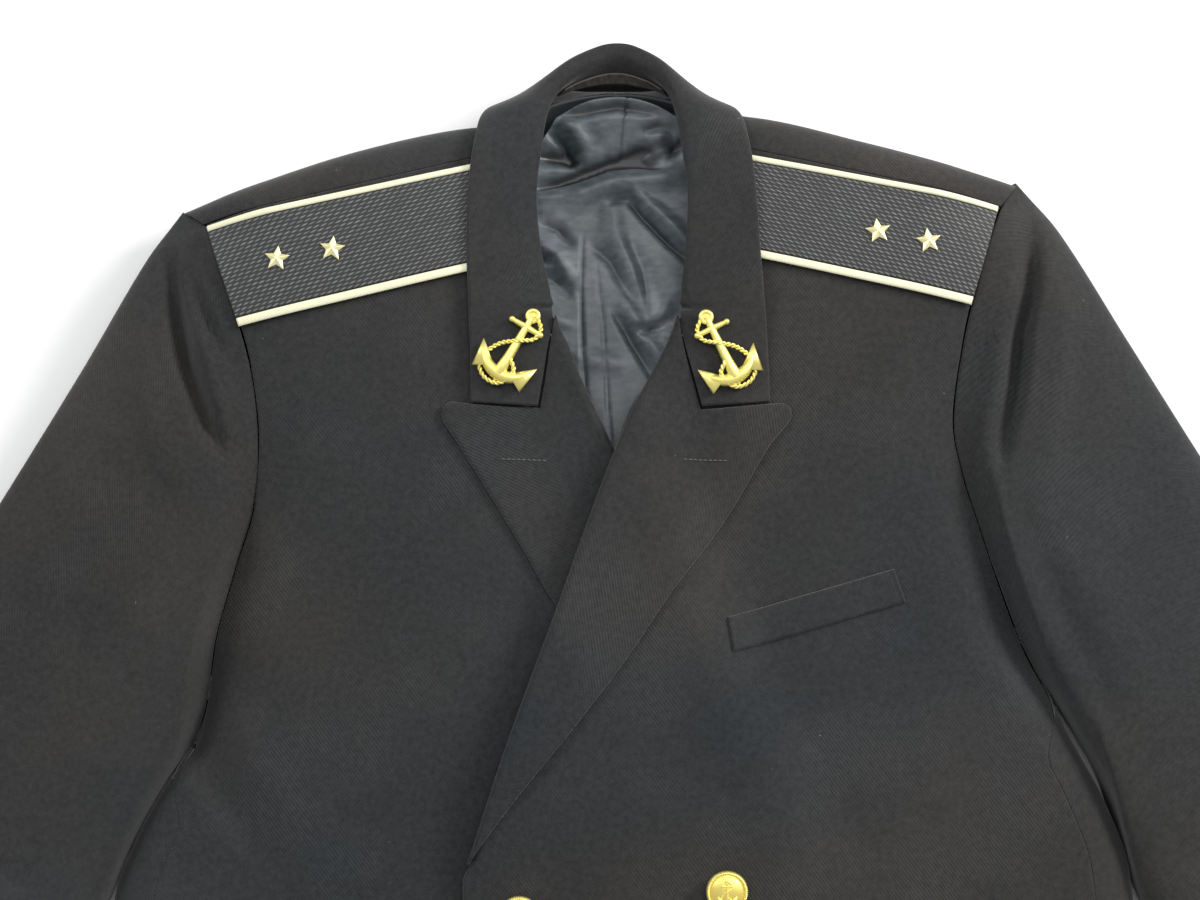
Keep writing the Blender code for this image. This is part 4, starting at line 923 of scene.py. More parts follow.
def front_inner_x(side, y):
    """Cut edge of a front: neck seam, turned edge under the lapel's roll, then front edge."""
    if y > GORGE_Y + 1.0:
        return NECK_X[side](y) + side * SEAM
    under_roll = smooth((y - BREAK_Y + 6.0) / 13.0)
    slope = (ROLL_X[side](y + 1.0) - ROLL_X[side](y - 1.0)) / 2.0
    return ROLL_X[side](y) + side * under_roll * (ROLL + 2.2) * math.hypot(1.0, slope)


def make_front(side, name):
    rows = LEVELS[side]
    length = rows[0].inner - HEM_Y
    levels = curve([(row.inner, row.outer) for row in rows],
                   [(rows[0].inner - row.inner) / length for row in rows])

    def point(u, v):
        yi, yo = levels(v)
        xi = front_inner_x(side, yi)
        below = smooth((UNDERARM_Y[side] + 10.0 - yo) / 30.0)
        xo = side_seam_x(side, yo) - side * mix(SLEEVE_GAP, 0.2, below) * 0.5
        x = mix(xi, xo, u)
        y = mix(yi, yo, u)
        width = abs(xo - xi)
        edge = edge_drop(u * width, TURNED_EDGE)
        edge += edge_drop((1 - u) * width, mix(SEAM_EDGE, 0.35, below))
        edge += edge_drop(v * length, 0.25) + edge_drop((1 - v) * length, TURNED_EDGE)
        return Vector((x, y, laid(side, x, y) - min(edge, TURNED_EDGE)))

    return shell(name, fine(230.0, 2.6), fine(length, 3.3), point, WOOL,
                 flip=side == LEFT, inside=INSIDE)


BACK_CURVES = {key: curve([getattr(row, key) for row in TURNS], [row.share for row in TURNS])
               for key in ("turn", "top", "low", "high")}


def back_edge(side, t):
    end_y = BACK_CURVES["turn"](0.0 if side == RIGHT else 1.0).y
    y = mix(HEM_Y, end_y, t)
    inset = SHOULDER_TURN * (1.0 - math.cos(under_turn(side, y)))
    return Vector((EDGE_X[side](y) - side * (BACK_GAP + inset * below_armhole(side, y)), y, 0.0))


BACK_HEM = curve([back_edge(RIGHT, 0.0), back_edge(LEFT, 0.0)])


def shoulder_line(side, x):
    """Where a front's top edge runs, which the back is sewn to."""
    row = LEVELS[side][0]
    neck = front_inner_x(side, row.inner)
    end = side_seam_x(side, row.outer)
    return mix(row.inner, row.outer, (x - neck) / (end - neck))


def back_point(u, v):
    """The back's outer face: v from 0 to 1 on the surface, from 1 to 2 over the shoulder."""
    foot = BACK_CURVES["turn"](u)
    if v > 1.0:
        top = BACK_CURVES["top"](u)
        side = RIGHT if top.x < 0 else LEFT
        sewn = smooth((abs(top.x) - 60.0) / 14.0)
        top.y = mix(top.y, shoulder_line(side, top.x) + 0.15, sewn)
        level = laid(side, top.x, top.y)
        top.z = mix(top.z, level, smooth((abs(top.x) - 68.0) / 14.0))
        spot = bezier(foot, foot + BACK_CURVES["low"](u), top + BACK_CURVES["high"](u), top,
                      v - 1.0)
        spot.z -= edge_drop((2.0 - v) * 60.0, 0.25)
        spot.x += math.copysign(1.5, spot.x) * smooth((abs(spot.x) - 190.0) / 30.0)
        centre_seam = 0.8 * math.exp(-((spot.x + 1.0) / 1.0) ** 2)
        return spot - Vector((0.0, centre_seam, 0.0))
    flat = coons(BACK_HEM, BACK_CURVES["turn"], lambda t: back_edge(RIGHT, t),
                 lambda t: back_edge(LEFT, t), u, v)
    side = RIGHT if flat.x < 0 else LEFT
    inward = (EDGE_X[side](flat.y) - flat.x) * side
    share = clamp(inward / SHOULDER_TURN)
    lift = EDGE_Z[side](flat.y) * (1.0 - math.sqrt(1.0 - (1.0 - share) ** 2))
    flat.z = lift * below_armhole(side, flat.y)
    flat.z += 0.9 * math.exp(-((flat.x + 1.0) / 1.1) ** 2)
    return flat


def make_back():
    turned = [1.0 + s for s in fine(60.0, 2.4, start=False)[1:]]
    rows = fine(712.0, 9.0, end=False) + turned
    across = fine(450.0, 4.2)
    seam = 0.5 - 1.0 / 450.0
    across = sorted(across + [seam + d / 450.0 for d in (-1.6, -0.8, 0.0, 0.8, 1.6)])
    return shell("back", across, rows, back_point, WOOL, flip=True, inside=INSIDE)


def make_side(side, name):
    top = UNDERARM_Y[side] - 2.0
    length = top - HEM_Y

    def point(u, v):
        y = mix(top, HEM_Y, v)
        turned = mix(seam_turn(side, y), -under_turn(side, y), u)
        x = EDGE_X[side](y) - side * SHOULDER_TURN * (1.0 - math.cos(turned))
        drop = edge_drop(u * 60.0, 0.35) + edge_drop((1 - v) * length, TURNED_EDGE)
        if turned > 0:
            level = front_top(x, y) + fold_lift(FRONT_REACH, x, y) * u * 2.0
            return Vector((x, y, level - drop))
        return Vector((x, y, EDGE_Z[side](y) * (1.0 - math.sin(min(-turned, math.pi / 2)))))

    return shell(name, fine(90.0, 3.5), fine(length, 4.0), point, WOOL,
                 grain=lambda u, v: (u * 90.0, v * length), flip=side == LEFT, inside=INSIDE)


# Sleeves

def sleeve_point(side):
    rows = SLEEVE_FOLDS[side]
    shares = [0.0, 0.05, 0.16, 0.30, 0.53, 0.77, 1.0]
    outer = curve([row.outer for row in rows], shares)
    inner = curve([row.inner for row in rows], shares)
    sizes = curve([(row.crown, row.outer_mid, row.inner_mid) for row in rows], shares)
    armhole = [edge for edge in EDGES[side] if edge.y >= UNDERARM_Y[side]]
    head_plan = [Vector((edge.x, edge.y)) for edge in armhole]
    head = curve(head_plan)
    head_z = curve([(edge.z, 0) for edge in armhole], length_shares(head_plan))
    cuff = curve([rows[-1].outer, rows[-1].inner])

    def point(along, angle):
        across = 0.5 - 0.5 * math.cos(angle)
        plan = coons(head, cuff, outer, inner, across, along)
        size = sizes(along)
        middle = mix(size.y, size.z, across)
        swell = math.sqrt(max(1.0 - abs(2 * across - 1) ** 3, 0.0))
        near_head = smooth(along * SLEEVE_LENGTH / 30.0)
        if math.sin(angle) >= 0:
            z = middle + (size.x - middle) * swell
            z = mix(head_z(across).x, z, near_head)
            z += fold_lift(SLEEVE_REACH[side], plan.x, plan.y) * swell * near_head
            z += waver(plan.x, plan.y) * swell * near_head
        else:
            belly = math.sqrt(max(1.0 - abs(2 * across - 1) ** 4, 0.0))
            z = max(middle * (1.0 - 1.12 * belly), 0.0)
        shift = Vector((side * 0.6, -0.45)) * (1.0 - along)
        return Vector((plan.x + shift.x, plan.y + shift.y, z))

    return point


def make_sleeve(side, upper_name, under_name):
    point = sleeve_point(side)
    first, last = -SLEEVE_PAST, math.pi + SLEEVE_PAST
    upper = [mix(first, last, t) for t in fine(SLEEVE_GIRTH, 2.4)]
    rows = fine(SLEEVE_LENGTH, 3.4)

    def above(u, v):
        spot = point(v, u)
        across = (u - first) / (last - first) * SLEEVE_GIRTH
        drop = edge_drop(v * SLEEVE_LENGTH, SEAM_EDGE)
        drop += edge_drop((1 - v) * SLEEVE_LENGTH, TURNED_EDGE)
        drop += edge_drop(min(across, SLEEVE_GIRTH - across), 1.0)
        return Vector((spot.x, spot.y, max(spot.z - drop, 0.0)))

    def below(u, v):
        gap = mix(UNDER_SEAM[side], 0.052, smooth((v - 0.3) / 0.6))
        return point(v, mix(last + gap, 2 * math.pi - SLEEVE_PAST - gap, u))

    for name, columns, spot in ((upper_name, upper, above), (under_name, fine(150.0, 5.0), below)):
        shell(name, columns, rows, spot, WOOL,
              grain=lambda u, v: (u * 60.0 * side, v * SLEEVE_LENGTH), flip=side == RIGHT,
              inside=INSIDE)


# Lapels and collar

def lapel_height(side, x, y):
    """Height of a lapel's outer face, which rises towards its roll."""
    away = abs(x - ROLL_X[side](y)) * 0.9
    carried = 2.2 if side == RIGHT and y < -20.0 else 3.0
    return laid(side, x, y) + LAY + carried * math.exp(-away / 16.0)


def lapel_point(side):
    top = polyline([Vector(p) for p in LAPEL_TOP[side]])
    edge = curve(LAPEL_EDGE[side])
    end_y = BREAK_Y + 10.0

    def roll(v):
        y = mix(GORGE_Y, end_y, v)
        return Vector((ROLL_X[side](y), y))

    end = curve([roll(1.0), LAPEL_EDGE[side][-1]])

    def point(u, v):
        edge_point = roll(v)
        heading = (roll(min(v + 0.01, 1.0)) - roll(max(v - 0.01, 0.0))).normalized()
        outward = Vector((-heading.y, heading.x)) * side
        turn = mix(1.2, ROLL, min(v / 0.06, 1.0))
        first = edge_point + outward * ROLL
        low = laid(side, *first) - CLOTH
        high = lapel_height(side, *first)
        if u <= 1.0:
            if u < 0.0:
                spot = edge_point + outward * (ROLL + 1.6)
                return Vector((spot.x, spot.y, low))
            angle = math.pi * (u - 0.5)
            reach = turn if angle > 0.0 else ROLL
            spot = edge_point + outward * reach * (1.0 - math.cos(angle))
            return Vector((spot.x, spot.y, mix(low, high, 0.5 + 0.5 * math.sin(angle))))
        share = u - 1.0
        plan = coons(top, end, roll, edge, share, v)
        plan += outward * turn * (1.0 - share) ** mix(6.0, 1.0, smooth((v - 0.5) / 0.4))
        return Vector((*plan, lapel_height(side, *plan)))

    return point


LAPEL_TAIL = (-80.0, -227.0)  # where the upper lapel runs out into the front's edge


def make_lapel(side, name):
    point = lapel_point(side)
    corner = length_shares([Vector(p) for p in LAPEL_TOP[side]])[GORGE_POINTS - 1]
    face = sorted(set(fine(100.0, 2.3, start=False) + [corner - 0.01, corner, corner + 0.01]))
    across = [-1.0] + stops(10) + [1.0 + t for t in face[1:]]
    slant = math.radians(28.0) * side

    def turned(u, v):
        spot = point(u, v)
        taper = smooth((v - 0.80) / 0.20) * 0.72
        if side == LEFT and taper > 0.0:
            rise = mix(-2.6, -0.2, clamp(u))
            tip = Vector((*LAPEL_TAIL, laid(side, *LAPEL_TAIL) + rise))
            spot = spot.lerp(tip, taper)
        if u > 1.0:
            inset = (2.0 - u) * 60.0 * (1.0 - 0.8 * v)
            spot.z -= edge_drop(inset, TURNED_EDGE)
            if u - 1.0 > corner:
                spot.z -= edge_drop(v * 290.0, TURNED_EDGE)
            elif v < 0.02:
                spot.z -= edge_drop(v * 290.0, 1.0) * 0.8
            spot.z += 0.25 * math.sin(spot.x / 9.0 + spot.y / 14.0)
        return spot

    def grain(u, v):
        spot = point(u, v)
        return (spot.x * math.cos(slant) - spot.y * math.sin(slant),
                spot.x * math.sin(slant) + spot.y * math.cos(slant))

    return shell(name, across, fine(290.0, 2.4, end=False), turned, WOOL,
                 grain=grain, flip=side == LEFT, thick=0.6)


def stops(count):
    return [i / count for i in range(count + 1)]


def collar_section(row, side):
    """The collar's section at one place, as a curve from the stand's foot to the outer edge."""
    def set_out(point):
        return Vector((side * point[0] + LEAN(point[1]), point[1], point[2]))

    roll = set_out(row.roll)
    fall = set_out(row.fall)
    foot = set_out(row.foot)
    swing = Vector((side * row.swing[0], row.swing[1], row.swing[2]))
    over = Vector((0.0, 0.0, row.drop))

    def at(t):
        if t <= 0.4:
            return bezier(foot, foot.lerp(roll, 0.5), roll - swing, roll, t / 0.4)
        outer = fall.lerp(roll, 0.45) + over + swing * 0.4
        return bezier(roll, roll + swing, outer, fall, (t - 0.4) / 0.6)

    return at


def collar_begin(row, side):
    """Where a section of the collar begins: at the gorge seam, or at the stand."""
    if row.roll[1] > GORGE_Y:
        return row.begin
    gorge = track([Neck(y, x) for x, y in LAPEL_TOP[side][:GORGE_POINTS]], "y", "x")
    section = collar_section(row, side)
    low = row.begin
    high = 1.0
    for _ in range(24):
        middle = (low + high) / 2
        spot = section(middle)
        if side * (spot.x - gorge(spot.y)) < SEAM + 0.9:
            low = middle
        else:
            high = middle
    return high


COLLAR_BEGIN = {}


def begin_of(number, side):
    if (number, side) not in COLLAR_BEGIN:
        COLLAR_BEGIN[number, side] = collar_begin(COLLAR[number], side)
    return COLLAR_BEGIN[number, side]


def collar_point(u, v):
    """A place on the collar: u from its beginning to its outer edge, v along it."""
    side = RIGHT if v < 0.5 else LEFT
    last = len(COLLAR) - 1
    on_half = (v if v < 0.5 else 1.0 - v) * 2.0 * last
    low = min(int(on_half), last - 1)
    values = []
    for number in (low - 1, low, low + 1, low + 2):
        number = min(max(number, 0), last)
        section = collar_section(COLLAR[number], side)
        values.append(section(mix(begin_of(number, side), 1.0, u)))
    if low + 2 > last:
        row = COLLAR[last - 1]
        values[3] = collar_section(row, -side)(mix(row.begin, 1.0, u))
    before, a, b, after = values
    if abs(COLLAR[low].begin - COLLAR[low + 1].begin) > 0.1:
        return a.lerp(b, on_half - low)
    return hermite(a, (b - before) * 0.5, b, (after - a) * 0.5, on_half - low)


def make_collar():
    along = fine(620.0, 2.6)
    across = fine(75.0, 2.0)

    def turned(u, v):
        spot = collar_point(u, v)
        end = min(v, 1.0 - v) * 620.0
        spot.z -= edge_drop((1.0 - u) * 60.0, TURNED_EDGE) + edge_drop(end, TURNED_EDGE)
        if u > 0.5:
            spot.z += 0.3 * math.sin(spot.y / 13.0 + 2.0 * u) * math.sin(u * math.pi)
        spot.z = max(spot.z, 0.4)
        return spot

    return shell("collar", across, along, turned, WOOL,
                 grain=lambda u, v: (u * 80.0, v * 520.0), flip=True)


# Back lining and the tape below the collar's stand

def lining_height(x, y):
    """Outer face of the lining, which lies in soft wrinkles on the back."""
    beside_neck = smooth((abs(x) - 30.0) / 30.0) * smooth((y - 140.0) / 40.0)
    rise = 10.6 * smooth((y - 168.0) / 36.0) + 6.0 * beside_neck
    crumple = 0.35 * math.sin(x / 5.1 + 2.0 * math.sin(y / 17.0)) * math.sin(y / 7.3 + x / 11.0)
    return max(8.0 + 1.6 * fold_lift(LINING_REACH, x, y) + crumple, 2.6) + rise


def make_lining():
    """The part of the back lining that the neck opening shows, and a little more."""
    right = curve([(-40, -50), (-58, 20), (-62, 90), (-59, 135), (-50, 166), (-35, 192)])
    left = curve([(40, -50), (56, 20), (58, 90), (56, 137), (48, 168), (33, 193)])

    def point(u, v):
        a = right(v)
        b = left(v)
        arch = 11.0 * smooth((v - 0.6) / 0.4) * (1.0 - (2 * u - 1) ** 2)
        x = mix(a.x, b.x, u)
        y = mix(a.y, b.y, u) + arch
        return Vector((x, y, lining_height(x, y)))

    def hollow(x, y):
        """Share of painted shade at a place, from 0 to 1: how deep it lies in a fold, where the
        lining's colour is darkened as shadow.
        """
        return smooth((-fold_lift(LINING_REACH, x, y) - 0.6) / 2.6) * 0.9

    return shell("back_lining", stops(96), stops(190), point, SATIN, thick=0.6,
                 hollow=hollow)


def raised(point_of, u, v, rise, sign):
    """A place above a sheet, along its own way up."""
    step = 0.004
    across = point_of(u + step, v) - point_of(u - step, v)
    along = point_of(u, v + step) - point_of(u, v - step)
    return point_of(u, v) + across.cross(along).normalized() * sign * rise


def make_band():
    """A tape sewn along the foot of the collar's stand, a little rumpled."""
    def point(u, v):
        rumple = 0.25 * math.sin(u * 41.0) + 0.2 * math.sin(u * 97.0 + 3.0 * v)
        lift = 1.9 + rumple * math.sin(math.pi * v) - edge_drop(min(v, 1 - v) * 9.0, 0.8)
        return raised(collar_point, mix(0.02, 0.13, v), mix(0.42, 0.58, u), lift, -1)

    return shell("collar_band", stops(80), fine(10.0, 1.0), point, TAPE,
                 grain=lambda u, v: (u * 92.0, v * 10.0), thick=0.8)


# Pieces sewn on the fronts

def quarter(corners, u, v):
    """A place in a four-cornered outline: u from its first pair of corners to the next."""
    a, b, c, d = (Vector(corner) for corner in corners)
    return a.lerp(b, u).lerp(c.lerp(d, u), v)


def make_welt():
    """The breast pocket's welt: turned edges all round, tacked down at both ends."""
    def point(u, v):
        spot = quarter(WELT, u, v)
        inset = min(u * 95.0, (1 - u) * 95.0, v * 19.0, (1 - v) * 19.0)
        tack = 0.5 * math.exp(-((min(u, 1 - u) * 95.0 - 2.6) / 0.7) ** 2)
        level = laid(LEFT, spot.x, spot.y) + 2.0
        return Vector((spot.x, spot.y, level - edge_drop(inset, 1.4) - tack))

    return shell("breast_welt", fine(95.0, 1.2), fine(19.0, 1.2), point, WOOL,
                 grain=lambda u, v: (u * 95.0, v * 19.0), flip=True, thick=1.2)


def strap_top(side, spot):
    return laid(side, spot.x, spot.y) + 0.9 + STRAP_THICK


def float_relief(x, y):
    """Relief of the braid: rows of short slanting floats, each row half a step on."""
    row = y / FLOAT_WIDTH
    line = math.floor(row)
    along = x / FLOAT_LENGTH + 0.5 * line
    reach = along - math.floor(along) - 0.5
    across = abs(row - line - 0.5 + reach * FLOAT_SLANT)
    return clamp(1.0 - FLOAT_SIDE_FALL * across - FLOAT_END_FALL * reach * reach)


def make_strap(side, name):
    back_share = (BACK_PIPING_WIDTH + STRAP_SEAM) / STRAP_WIDTH
    front_share = (PIPING_WIDTH + STRAP_SEAM) / STRAP_WIDTH
    field = STRAP_WIDTH * (1.0 - back_share - front_share)

    def point(u, v):
        spot = quarter(STRAPS[side], u, mix(back_share, 1.0 - front_share, v))
        relief = 0.42 * float_relief(u * STRAP_LENGTH, v * field)
        edges = edge_drop(min(u, 1 - u) * STRAP_LENGTH, 0.9)
        edges += edge_drop(min(v, 1 - v) * field, 0.7)
        return Vector((*spot, strap_top(side, spot) + relief - edges))

    shell("shoulder_strap_" + name, fine(STRAP_LENGTH, 0.62), fine(field, 0.57), point, GALLOON,
          grain=lambda u, v: (u * STRAP_LENGTH, v * field), flip=side == LEFT,
          thick=STRAP_THICK)
    make_piping(side, "piping_back_" + name, 0.5 * back_share, BACK_PIPING_WIDTH)
    make_piping(side, "piping_front_" + name, 1.0 - 0.5 * front_share, PIPING_WIDTH)


def make_piping(side, name, middle, width):
    """A half-round cord along one edge of a strap, its twist just showing."""
    half = 0.5 * (width - STRAP_SEAM) / STRAP_WIDTH

    def point(u, v):
        spot = quarter(STRAPS[side], u, middle + half * math.sin(v))
        crown = PIPING_THICK * (math.cos(v) - 1.0) * 0.45
        twist = 0.07 * math.sin((u * STRAP_LENGTH + v * 3.0) * 2 * math.pi / 1.9)
        ends = edge_drop(min(u, 1 - u) * STRAP_LENGTH, 1.2)
        return Vector((*spot, strap_top(side, spot) + 0.4 + crown + twist - ends))

    arc = [math.radians(a) for a in range(-80, 81, 20)]
    shell(name, fine(STRAP_LENGTH, 0.55), arc, point, CORD,
          grain=lambda u, v: (u * STRAP_LENGTH, v * 2.5), flip=side == LEFT, thick=1.2)


def seat(point_of, x, y, rise):
    """A place on a face, and the way up from it."""
    step = 6.0
    slope_x = (point_of(x + step, y) - point_of(x - step, y)) / (2 * step)
    slope_y = (point_of(x, y + step) - point_of(x, y - step)) / (2 * step)
    up = Vector((-slope_x, -slope_y, 1.0)).normalized()
    return Vector((x, y, point_of(x, y))) + up * rise, up


def stand_on(mesh, spot, up, heading):
    """Move a mesh, made at the origin in metres, to a place, its +Y towards a heading."""
    level = Vector((*heading, 0.0))
    forward = (level - up * up.dot(level)).normalized()
    turn = Matrix((forward.cross(up), forward, up)).transposed().to_4x4()
    mesh.transform(Matrix.Translation(place(spot)) @ turn)


# Stars, anchors and buttons

def star_mesh():
    """A five-rayed star: sharp ridges down its rays, on a thin plate with upright sides."""
    form = bmesh.new()
    size = 0.5 * STAR_SIZE * MM
    rim, base = [], []
    for i in range(10):
        angle = math.pi / 2 + i * math.pi / 5
        reach = size * (1.0 if i % 2 == 0 else 0.47)
        for ring, height in ((rim, 0.0006), (base, 0.0)):
            spot = (reach * math.cos(angle), reach * math.sin(angle), height)
            ring.append(form.verts.new(spot))
    top = form.verts.new((0.0, 0.0, 0.0026))
    for i in range(10):
        j = (i + 1) % 10
        form.faces.new((rim[i], rim[j], top))
        form.faces.new((base[i], base[j], rim[j], rim[i]))
    form.faces.new(list(reversed(base)))
    return mesh_of(form, "star")


def make_stars(side, name):
    neck, end = Vector(STRAPS[side][0]), Vector(STRAPS[side][1])
    heading = (neck - end).normalized()
    for number, spot in enumerate(STARS[side]):
        mesh = star_mesh()
        place_on, up = seat(lambda x, y: strap_top(side, Vector((x, y))), *spot, 0.4)
        stand_on(mesh, place_on, up, heading)
        node = "star_" + name + "_" + str(number + 1)
        piece = finish_piece(node + "_gilt", mesh, STAR_GILT, node)
        soft = piece.modifiers.new("worn_edges", "BEVEL")
        soft.width = 0.00018
        soft.segments = 2


def tube(points, radius, widths=None, sides=6):
    """A round wire through points in millimetres; widths are shares of the radius."""
    data = bpy.data.curves.new("wire", "CURVE")
    data.dimensions = "3D"
    spline = data.splines.new("POLY")
    spline.points.add(len(points) - 1)
    for number, (knot, point) in enumerate(zip(spline.points, points)):
        knot.co = (*(Vector(point) * MM), 1.0)
        knot.radius = 1.0 if widths is None else widths[number]
    data.bevel_depth = radius * MM
    data.bevel_resolution = sides // 2
    data.use_fill_caps = True
    wire = put_in_scene("wire", data)
    bpy.context.view_layer.update()
    solid = wire.evaluated_get(bpy.context.evaluated_depsgraph_get())
    mesh = bpy.data.meshes.new_from_object(solid)
    bpy.data.objects.remove(wire)
    return mesh


def ball(centre, radius, flat=1.0):
    form = bmesh.new()
    bmesh.ops.create_uvsphere(form, u_segments=16, v_segments=10, radius=radius * MM)
    bmesh.ops.scale(form, verts=form.verts, vec=(1, 1, flat))
    bmesh.ops.translate(form, verts=form.verts, vec=Vector(centre) * MM)
    return mesh_of(form, "ball")


def palm(sign):
    """The pointed palm at the end of one arm."""
    form = bmesh.new()
    bmesh.ops.create_cone(form, cap_ends=True, segments=12, radius1=0.0068, radius2=0.0002,
                          depth=0.0145)
    bmesh.ops.scale(form, verts=form.verts, vec=(0.90, 0.34, 1.0))
    bmesh.ops.rotate(form, verts=form.verts, matrix=Matrix.Rotation(-math.pi / 2, 3, "X"))
    bmesh.ops.rotate(form, verts=form.verts, matrix=Matrix.Rotation(-sign * 0.5, 3, "Z"))
    bmesh.ops.translate(form, verts=form.verts, vec=(sign * 0.0132, -0.0118, 0.0018))
    return mesh_of(form, "palm")


def joined(meshes):
    form = bmesh.new()
    for mesh in meshes:
        form.from_mesh(mesh)
    whole = mesh_of(form, "casting")
    whole.materials.clear()
    whole.shade_smooth()
    return whole


def rope(path, radius, turns):
    """Two strands twisted round a path."""
    strands = []
    for phase in (0.0, math.pi):
        points = []
        for i in range(121):
            t = i / 120
            angle = phase + turns * 2 * math.pi * t
            ahead = (path(min(t + 0.01, 1)) - path(max(t - 0.01, 0))).normalized()
            sideways = Vector((-ahead.y, ahead.x, 0.0))
            lift = Vector((0, 0, 1))
            points.append(path(t) + (sideways * math.cos(angle) + lift * math.sin(angle)) * radius)
        strands.append(tube(points, radius * 0.95, sides=4))
    return strands


def anchor_mesh():
    """Shank, stock with balls, ring, thick arms with palms, and a rope fouled round them."""
    arms = []
    widths = []
    for i in range(25):
        t = i / 24
        angle = math.radians(mix(-66, 66, t))
        arms.append((14.4 * math.sin(angle), -5.5 - 12.6 * math.cos(angle), 1.7))
        widths.append(mix(0.5, 1.9, math.sin(math.pi * t) ** 0.8))
    route = curve([(1.5, 19.5, 2.2), (7.4, 14.5, 1.9), (7.0, 8.0, 1.8), (1.0, 3.2, 3.8),
                   (-6.4, -2.0, 2.4), (-10.8, -8.6, 1.8), (-12.4, -17.0, 1.4), (-7.0, -22.9, 1.5),
                   (1.0, -23.2, 1.6), (5.6, -18.6, 3.0), (6.4, -12.6, 3.4), (1.6, -8.0, 3.8)])
    return joined([
        tube([(0, 17.0, 1.7), (0, 8, 1.8), (0, -8, 2.0), (0, -17.6, 2.0), (0, -22.4, 1.8)], 2.0,
             [0.9, 1.05, 1.4, 1.9, 0.3]),
        tube([(-8.6, 11.5, 1.8), (0, 11.5, 1.9), (8.6, 11.5, 1.8)], 1.6, [0.8, 1.15, 0.8]),
        ball((-8.9, 11.5, 1.8), 1.7),
        ball((8.9, 11.5, 1.8), 1.7),
        tube(arms, 1.95, widths),
        tube([(3.0 * math.cos(a), 18.6 + 3.0 * math.sin(a), 1.7) for a in
              [i * math.pi / 12 for i in range(25)]], 1.25),
        ball((0, 18.6, 1.5), 2.4, 0.5),
        palm(1),
        palm(-1),
        *rope(route, 0.72, 16),
    ])


def collar_top(side, x, y):
    """Height of the collar's outer face near its ends."""
    best = None
    for i in range(13):
        for j in range(13):
            v = mix(0.0, 0.2, i / 12)
            spot = collar_point(mix(0.2, 1.0, j / 12), v if side == RIGHT else 1.0 - v)
            away = (spot.xy - Vector((x, y))).length
            if best is None or away < best[0]:
                best = (away, spot.z)
    return best[1]


def make_anchors():
    for side, name in SIDES.items():
        ring, crown = (Vector(p) for p in ANCHORS[side])
        middle = (ring + crown) / 2
        mesh = anchor_mesh()
        if side == LEFT:
            mesh.transform(Matrix.Scale(-1, 4, (1, 0, 0)))
            mesh.flip_normals()
        spot, up = seat(lambda x, y: collar_top(side, x, y), middle.x, middle.y, 0.4)
        up = Vector((0, 0, 1)).lerp(up, 0.8).normalized()
        stand_on(mesh, spot, up, (ring - crown).normalized())
        finish_piece("anchor_" + name + "_gilt", mesh, GILT, "anchor_" + name)


# Share of the radius, and depth below the crown
BUTTON_PROFILE = [(0.0, 0.4), (0.25, 0.55), (0.5, 1.1), (0.74, 2.2), (0.80, 2.9), (0.86, 2.7),
                  (0.95, 3.1), (1.0, 4.4), (0.92, 5.4), (0.3, 6.2), (0.22, BUTTON_HEIGHT),
                  (0.0, BUTTON_HEIGHT)]


def button_mesh():
    """A domed button with a roped rim and a small anchor in relief."""
    radius = 0.5 * BUTTON_DIAMETER
    form = bmesh.new()
    verts = [form.verts.new((share * radius * MM, 0.0, (BUTTON_HEIGHT - drop) * MM))
             for share, drop in BUTTON_PROFILE]
    edges = [form.edges.new(pair) for pair in zip(verts, verts[1:])]
    bmesh.ops.spin(form, geom=verts + edges, angle=2 * math.pi, steps=48, axis=(0, 0, 1),
                   cent=(0, 0, 0), use_merge=True)
    bmesh.ops.remove_doubles(form, verts=form.verts, dist=0.00001)
    bmesh.ops.recalc_face_normals(form, faces=form.faces)
    dome = mesh_of(form, "dome")
    circle = [Vector((0.9 * radius * math.cos(a), 0.9 * radius * math.sin(a), BUTTON_HEIGHT - 2.7))
              for a in [i * math.pi / 30 for i in range(61)]]
    small = anchor_mesh()
    lift = Matrix.Translation((0, 0, (BUTTON_HEIGHT - 1.35) * MM))
    small.transform(lift @ Matrix.Scale(0.30, 4))
    return joined([dome, *rope(polyline(circle), 0.42, 30), small])


def make_buttons():
    for row, y in enumerate(BUTTON_ROWS):
        for x, column in zip(BUTTON_COLUMNS, ("outer", "inner")):
            mesh = button_mesh()
            level = y - (BUTTON_DROP if column == "inner" else 0.0)
            spot, up = seat(lambda a, b: laid(LEFT, a, b), x, level, 0.7)
            lean = 0.12 * (row - 1) + (0.1 if column == "outer" else -0.08)
            stand_on(mesh, spot, up, (math.sin(lean), math.cos(lean)))
            node = "button_" + column + "_" + str(row + 1)
            finish_piece(node + "_gilt", mesh, GILT, node)


def make_buttonhole_mark(side, name):
    """A row of short hand stitches across a lapel where a buttonhole would be cut."""
    start, end = (Vector(p) for p in BUTTONHOLES[side])
    stitches = []
    count = 9
    for i in range(count):
        points = []
        for share, aside, rise in ((0.12, 0.0, 0.02), (0.48, 0.15, 0.32), (0.84, 0.0, 0.02)):
            spot = start.lerp(end, (i + share) / count)
            level = lapel_height(side, *spot) + rise
            points.append(place((spot.x, spot.y + aside, level)) / MM)
        stitches.append(tube(points, 0.30, [0.5, 1.0, 0.5], 4))
    finish_piece("buttonhole_mark_" + name, joined(stitches), THREAD)


BUTTONHOLES = {RIGHT: ((-63.5, -8.5), (-38.5, -9.2)), LEFT: ((35.0, -8.8), (59.0, -9.6))}


# The studio

def make_stage():
    form = bmesh.new()
    bmesh.ops.create_grid(form, x_segments=1, y_segments=1, size=6.0)
    bmesh.ops.translate(form, verts=form.verts, vec=(0, 0, -0.0004))
    table = put_in_scene("table", mesh_of(form, "table"))
    table.data.materials.append(table_finish())


